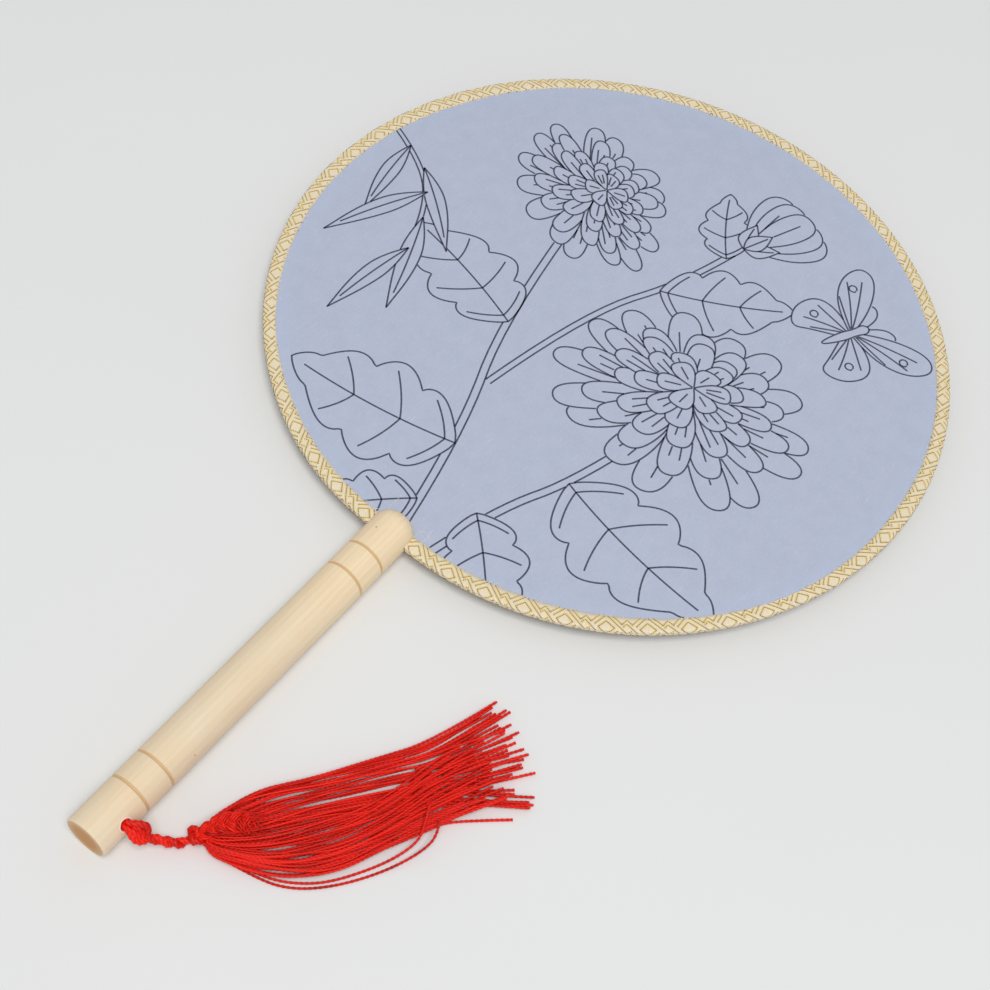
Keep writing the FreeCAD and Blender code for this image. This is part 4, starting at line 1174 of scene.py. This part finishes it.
cord_path = [hole_centre + hole_way * HOLE_START, mouth] + from_swing(between_strands + TWISTED_CORD)
cord_path = spline_line(cord_path)
cord_length = line_lengths(cord_path)[-1]


# Stopper knot and head knot: overhand knots pulled tight in the cord, one in its recess on the far side of
# the handle and one at the tassel's head, where it ties the threads' middles together.
KNOT_STEPS = 48
KNOT_CLEAR = 0.05 * mm
KNOT_LAY = 4.2 * mm
STOPPER_LOOP = 0.52 * mm
STOPPER_STRAND = 1.55 * mm
HEAD_LOOP = 0.8 * mm
HEAD_STRAND = 1.85 * mm


def overhand(name, node, way, loop, strand):
    """A tight overhand knot, centred on that CAD knot or a little above, with its hole along the way."""
    low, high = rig.box(node)
    centre = (low + high) / 2
    centre.z = max(centre.z, 3 * loop + strand / 2 + KNOT_CLEAR)
    turned = way.to_track_quat("Z", "Y").to_matrix()
    line = []
    for step in range(KNOT_STEPS):
        turn = math.tau * step / KNOT_STEPS
        across = math.sin(turn) + 2 * math.sin(2 * turn)
        up = math.cos(turn) - 2 * math.cos(2 * turn)
        line.append(centre + turned @ Vector((across, up, -1.25 * math.sin(3 * turn))) * loop)
    knot = edges_of(name, [line + line[:1]])
    made_by(yarn_tree, knot, strand_sizes | {"Diameter": strand, "Lay": KNOT_LAY})
    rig.replaces(knot, node)
    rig.slot(knot, "tassel_thread")
    return knot


stopper = overhand("stopper_knot_strand", "stopper_knot", hole_way, STOPPER_LOOP, STOPPER_STRAND)
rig.ride(stopper, "fan")
cord_way = (cord_line[-1] - cord_line[-4]).normalized()
head_knot = overhand("head_knot_strand", "head_knot", cord_way, HEAD_LOOP, HEAD_STRAND)
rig.ride(head_knot, "tassel")


# Tail: the cord's loose end past the head knot, plaited flat from three strands of four yarns. The plait
# widens and opens into a soft frayed brush that lies on top of the threads.
TAIL = [
    (12.6, 11.6, 4.2), (14.2, 14.2, 6), (15.6, 16.9, 7), (17.8, 19.9, 7.2), (20.4, 22.1, 7), (23, 23.4, 6.4),
]
TAIL_YARN = 0.85 * mm
TAIL_LAY = 3.4 * mm
TAIL_STEP = 0.4 * mm
PLAIT_STRANDS = 3
STRAND_YARNS = 4
PLAIT_PITCH = 9 * mm
PLAIT_REACH = (1.2 * mm, 2.5 * mm)
PLAIT_RISE = 0.95 * mm
YARN_SPACING = (0.56 * mm, 0.78 * mm)
YARN_SAG = 0.12 * mm
YARN_GIRTHS = (1, 1, 1, 0.9)
FRAY_COUNT = 44
FRAY_GIRTHS = (0.5, 0.42, 0.35, 0.2)


def between(limits, share):
    """The value at that share of the way between two limits."""
    return limits[0] + (limits[1] - limits[0]) * share


draw = random.Random(11)
tail_line = spline_line(from_swing(TAIL))
tail_lengths = line_lengths(tail_line)
tail_yarns, tail_girths = [], []
for strand in range(PLAIT_STRANDS):
    strand_line = []
    for at, reached in enumerate(tail_lengths):
        way = way_at(tail_line, at)
        side = way.cross(Vector((0, 0, 1))).normalized()
        turn = math.tau * (reached / PLAIT_PITCH + strand / PLAIT_STRANDS)
        sideways = side * (between(PLAIT_REACH, reached / tail_lengths[-1]) * math.sin(turn))
        strand_line.append(tail_line[at] + sideways + Vector((0, 0, PLAIT_RISE * math.sin(2 * turn))))
    for yarn in range(STRAND_YARNS):
        yarn_line = []
        for at in range(len(strand_line) - draw.randrange(0, 4)):
            way = way_at(strand_line, at)
            side = way.cross(Vector((0, 0, 1))).normalized()
            place = yarn - (STRAND_YARNS - 1) / 2
            spread = between(YARN_SPACING, tail_lengths[at] / tail_lengths[-1]) * place
            yarn_line.append(strand_line[at] + side * spread - Vector((0, 0, YARN_SAG * place**2)))
        tail_yarns.append(spline_line(yarn_line[::2] + yarn_line[-1:]))
        tail_girths.append(YARN_GIRTHS)
for fibre in range(FRAY_COUNT):
    start = draw.choice(tail_yarns[: PLAIT_STRANDS * STRAND_YARNS])[-draw.randrange(1, 4)]
    spread = Vector((draw.gauss(0.9, 0.7), draw.gauss(0.2, 0.8), draw.gauss(-0.1, 0.5))) * mm
    curl = Vector((draw.gauss(0, 0.4), draw.gauss(0, 0.4), draw.gauss(0, 0.3))) * mm
    fray = [start - spread, start, start + spread + curl, start + spread * 1.6 - curl]
    tail_yarns.append(spline_line(fray))
    tail_girths.append(FRAY_GIRTHS)
tail = edges_of("frayed_tail", tail_yarns, tail_girths)
tail_sizes = {"Diameter": TAIL_YARN, "Plies": 2, "Ply Depth": 0.12, "Lay": TAIL_LAY, "Step": TAIL_STEP}
made_by(yarn_tree, tail, tail_sizes | {"Sides": 8, "Material": rayon})
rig.ride(tail, "tassel")
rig.replaces(tail, "cord_tail")
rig.slot(tail, "tassel_thread")
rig.cord(
    cord, exit=mouth, length=cord_length, diameter=CORD_DIAMETER, far_end="knot", stiffness="limp",
    lay="loose", path=cord_path, with_pieces=[head_knot, tail],
)


# Tassel: lengths of two-ply red yarn, tied at their middles by the head knot and folded over it. The 94 ends
# leave the tie in two bundles. The lower one sweeps up across the upper one, and all lie loose on the table.
THREAD_DIAMETER = 0.9 * mm
THREAD_LAY = 2.9 * mm
THREAD_STEP = 0.45 * mm
THREAD_GIRTHS = (0.9, 1, 1, 1, 1, 1, 1, 1, 1.12)
LEAD_RISE = 1.6 * mm
CROSSING_RISE = 1.9 * mm
LOW_RISES = (0, 2)
TOP_RISES = (2, 4.6)
CUT_SLACK = 2 * mm
UPPER_CUTS = 4.5
LOWER_CUTS = 12
LOW_DRIFT = 0.1
TOP_DRIFT = 0.22
THREADS_IN_LOCK = 7
LOWER_LOCKS = 7
UPPER_LOCKS = 6
TIP_BULGE = 6.5 * mm
TABLE_REST = 0.5 * mm
UPPER_BUNDLE = [
    [(12.2, 15), (12, 19.6), (14.1, 27.6), (18.3, 36), (24.8, 44.4), (36, 61.3), (44.5, 75.6), (50, 95)],
    [(16.2, 14), (22, 18.9), (27.6, 25.6), (33.8, 35.2), (42, 46), (53.2, 60.4), (62.4, 68.4), (72.6, 76.4)],
]
LOWER_BUNDLE = [
    [(16.6, 13), (23.4, 18.4), (29.6, 25.4), (36, 35), (42.3, 46.4), (46, 58), (48.8, 72.4), (52.8, 84)],
    [
        (16.2, 11), (20.8, 10.9), (30.2, 14.8), (39.4, 20.2), (47.4, 29.6), (52.6, 41.5), (59, 55.5),
        (70, 77.3),
    ],
]
STRAY_THREADS = [
    [
        (16, 11.8, 1), (20.6, 12, 0), (29, 14.2, 0), (37.2, 16.9, 0), (45, 22.6, 0), (50.4, 29.6, 0),
        (56.3, 40.5, 0), (59.4, 48.6, 3), (58.4, 53, 5.4), (55.6, 58.6, 5.6),
    ],
    [
        (16, 11.6, 1), (21.6, 12, 0), (32, 14, 0), (38.7, 16.2, 0), (45.5, 21.2, 0), (52.4, 29.6, 0),
        (58.3, 40, 0), (62, 48.6, 2.4), (62.6, 53.6, 5), (60.4, 57, 5.4),
    ],
    [(17, 11.6, 1), (30, 16, 2), (46, 30.6, 3), (53, 44, 2), (60, 58, 0.6), (66, 64.6, 0), (75, 72.6, 0)],
]
draw = random.Random(17)
knot_centre = from_swing([TWISTED_CORD[-1]])[0]


def thread_route(share, drift, rise, cut):
    """Control points of one thread from under the knot to its tip. drift moves it across its bundle."""
    crossing = share >= 0.5
    edges = LOWER_BUNDLE if crossing else UPPER_BUNDLE
    across = 2 * share - crossing
    start = Vector((draw.gauss(2.1, 0.4), draw.gauss(1.9, 0.4), draw.gauss(0.3, 0.6))) * mm
    points = [knot_centre + start]
    for at, (near, far) in enumerate(zip(*edges)):
        reached = at / (len(edges[0]) - 1)
        settled = reached**2 * (3 - 2 * reached)
        spread = min(1.03, max(-0.03, across + drift * (settled + 0.15)))
        spot = Vector((*near, 0)).lerp(Vector((*far, 0)), spread)
        wander = 0.25 + 0.55 * reached
        spot += Vector((draw.gauss(0, wander), draw.gauss(0, wander), 0))
        place = from_swing([spot])[0]
        place.z = TABLE_REST + rise * (1 - 0.7 * settled) + abs(draw.gauss(0, 0.15)) * mm
        if crossing:
            place.z += CROSSING_RISE * settled
        points.append(place)
    way = (points[-1] - points[-2]).normalized()
    bulge = 0 if crossing else TIP_BULGE * math.sin(math.pi * min(1, max(0, across)))
    points[-1] += way * (bulge - cut)
    return points


def lock_threads(share, spacing, on_top):
    """Routes of the threads in one lock, the first down its middle. Those on top stray further from it."""
    routes = [thread_route(share, 0, LEAD_RISE, CUT_SLACK)]
    for thread in range(1, THREADS_IN_LOCK):
        beside = (thread - 0.5) / (THREADS_IN_LOCK - 1) - 0.5
        own_share = share + (draw.uniform(-0.9, 0.9) if on_top else beside) * spacing + draw.gauss(0, 0.01)
        own_share = 1 - abs(1 - abs(own_share))
        cut = abs(draw.gauss(0, UPPER_CUTS if own_share < 0.5 else LOWER_CUTS)) * mm - CUT_SLACK
        rise = draw.uniform(*(TOP_RISES if on_top else LOW_RISES)) * mm
        drift = draw.gauss(0, TOP_DRIFT if on_top else LOW_DRIFT)
        routes.append(thread_route(own_share, drift, rise, cut))
    return routes


thread_sizes = {"Diameter": THREAD_DIAMETER, "Plies": 2, "Ply Depth": 0.13, "Lay": THREAD_LAY}
thread_sizes |= {"Step": THREAD_STEP, "Sides": 8, "Material": rayon}
lock_spacing = 1 / (LOWER_LOCKS - 1)
for number in range(LOWER_LOCKS + UPPER_LOCKS):
    on_top = number >= LOWER_LOCKS
    share = (number - LOWER_LOCKS + 0.5 if on_top else number) * lock_spacing
    routes = lock_threads(share, lock_spacing, on_top)
    replaced = [f"tassel_lock_{number + 1}"]
    if number == 0:
        replaced.append("tassel_neck")
    if number == LOWER_LOCKS - 1:
        table_level = Vector((0, 0, TABLE_REST))
        for stray in STRAY_THREADS:
            stray_line = [place + table_level for place in from_swing(stray)]
            routes.append([knot_centre] + stray_line)
    lines = [spline_line(route) for route in routes]
    lock = edges_of(f"threads_{number + 1}", lines[1:], [THREAD_GIRTHS] * (len(lines) - 1))
    made_by(yarn_tree, lock, thread_sizes)
    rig.ride(lock, "tassel")
    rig.replaces(lock, *replaced)
    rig.slot(lock, "tassel_thread")
    lead = edges_of(f"lead_thread_{number + 1}", lines[:1], [THREAD_GIRTHS])
    made_by(yarn_tree, lead, thread_sizes)
    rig.ride(lead, "tassel")
    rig.slot(lead, "tassel_thread")
    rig.cord(
        lead, exit=lines[0][0], length=line_lengths(lines[0])[-1], diameter=THREAD_DIAMETER, far_end="bare",
        stiffness="limp", lay="loose", path=lines[0], with_pieces=[lock],
    )


# Floor, light and camera: a plain pale table, one large soft light high up on the camera's side and a pale
# surround, seen from where the photograph was taken.
LENS = 64.273
SENSOR = 36
CAMERA_PLACE = Vector((147.406, -285.503, 462.717)) * mm
CAMERA_AIM = Vector((10.983, -16.509, 7)) * mm
CAMERA_ROLL = math.radians(12.734)
FLOOR_REACH = 3.0
KEY_PLACE = Vector((0.6, -0.7, 2.2))
KEY_SIZE = 1.3
KEY_ENERGY = 33
SURROUND_STRENGTH = 0.5
floor_corners = [(-FLOOR_REACH, -FLOOR_REACH, 0), (FLOOR_REACH, -FLOOR_REACH, 0)]
floor_corners += [(FLOOR_REACH, FLOOR_REACH, 0), (-FLOOR_REACH, FLOOR_REACH, 0)]
floor_mesh = bpy.data.meshes.new("pale_table")
floor_mesh.from_pydata(floor_corners, [], [(0, 1, 2, 3)])
floor = bpy.data.objects.new("pale_table", floor_mesh)
bpy.context.scene.collection.objects.link(floor)
# Matt paint: a pale warm grey with faint clouds.
paint, tree = new_material("matt_pale_table")
place = add(tree, "ShaderNodeTexCoord").outputs["Object"]
cloud = add(tree, "ShaderNodeTexNoise", {"Vector": place, "Scale": 6.0, "Detail": 2.0})
pale = mixed(tree, cloud, "#e4e4e2", "#e8e8e6")
surfaced(tree, {"Base Color": pale, "Roughness": 0.9})
floor_mesh.materials.append(paint)
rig.stage(floor)

key = bpy.data.lights.new("soft_key", "AREA")
key.shape = "DISK"
key.size = KEY_SIZE
key.energy = KEY_ENERGY
key_light = bpy.data.objects.new("soft_key", key)
key_light.location = KEY_PLACE
key_light.rotation_euler = (-KEY_PLACE).to_track_quat("-Z", "Y").to_euler()
bpy.context.scene.collection.objects.link(key_light)
world = bpy.data.worlds.new("pale_surround")
bpy.context.scene.world = world
world.use_nodes = True
surround = world.node_tree.nodes["Background"].inputs
surround["Color"].default_value = linear("#f4f6fa")
surround["Strength"].default_value = SURROUND_STRENGTH
bpy.context.scene.view_settings.view_transform = "Standard"

camera_data = bpy.data.cameras.new("camera")
camera_data.lens = LENS
camera_data.sensor_width = SENSOR
camera = bpy.data.objects.new("camera", camera_data)
camera.location = CAMERA_PLACE
look = (CAMERA_AIM - CAMERA_PLACE).to_track_quat("-Z", "Y").to_matrix()
camera.rotation_euler = (look @ Matrix.Rotation(CAMERA_ROLL, 3, "Z")).to_euler()
bpy.context.scene.collection.objects.link(camera)
bpy.context.scene.camera = camera

visual_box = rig.bounds()
with open("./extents.json", "w") as size_file:
    json.dump({"cad": [list(corner) for corner in cad_box], "visual": [list(corner) for corner in visual_box]}, size_file)
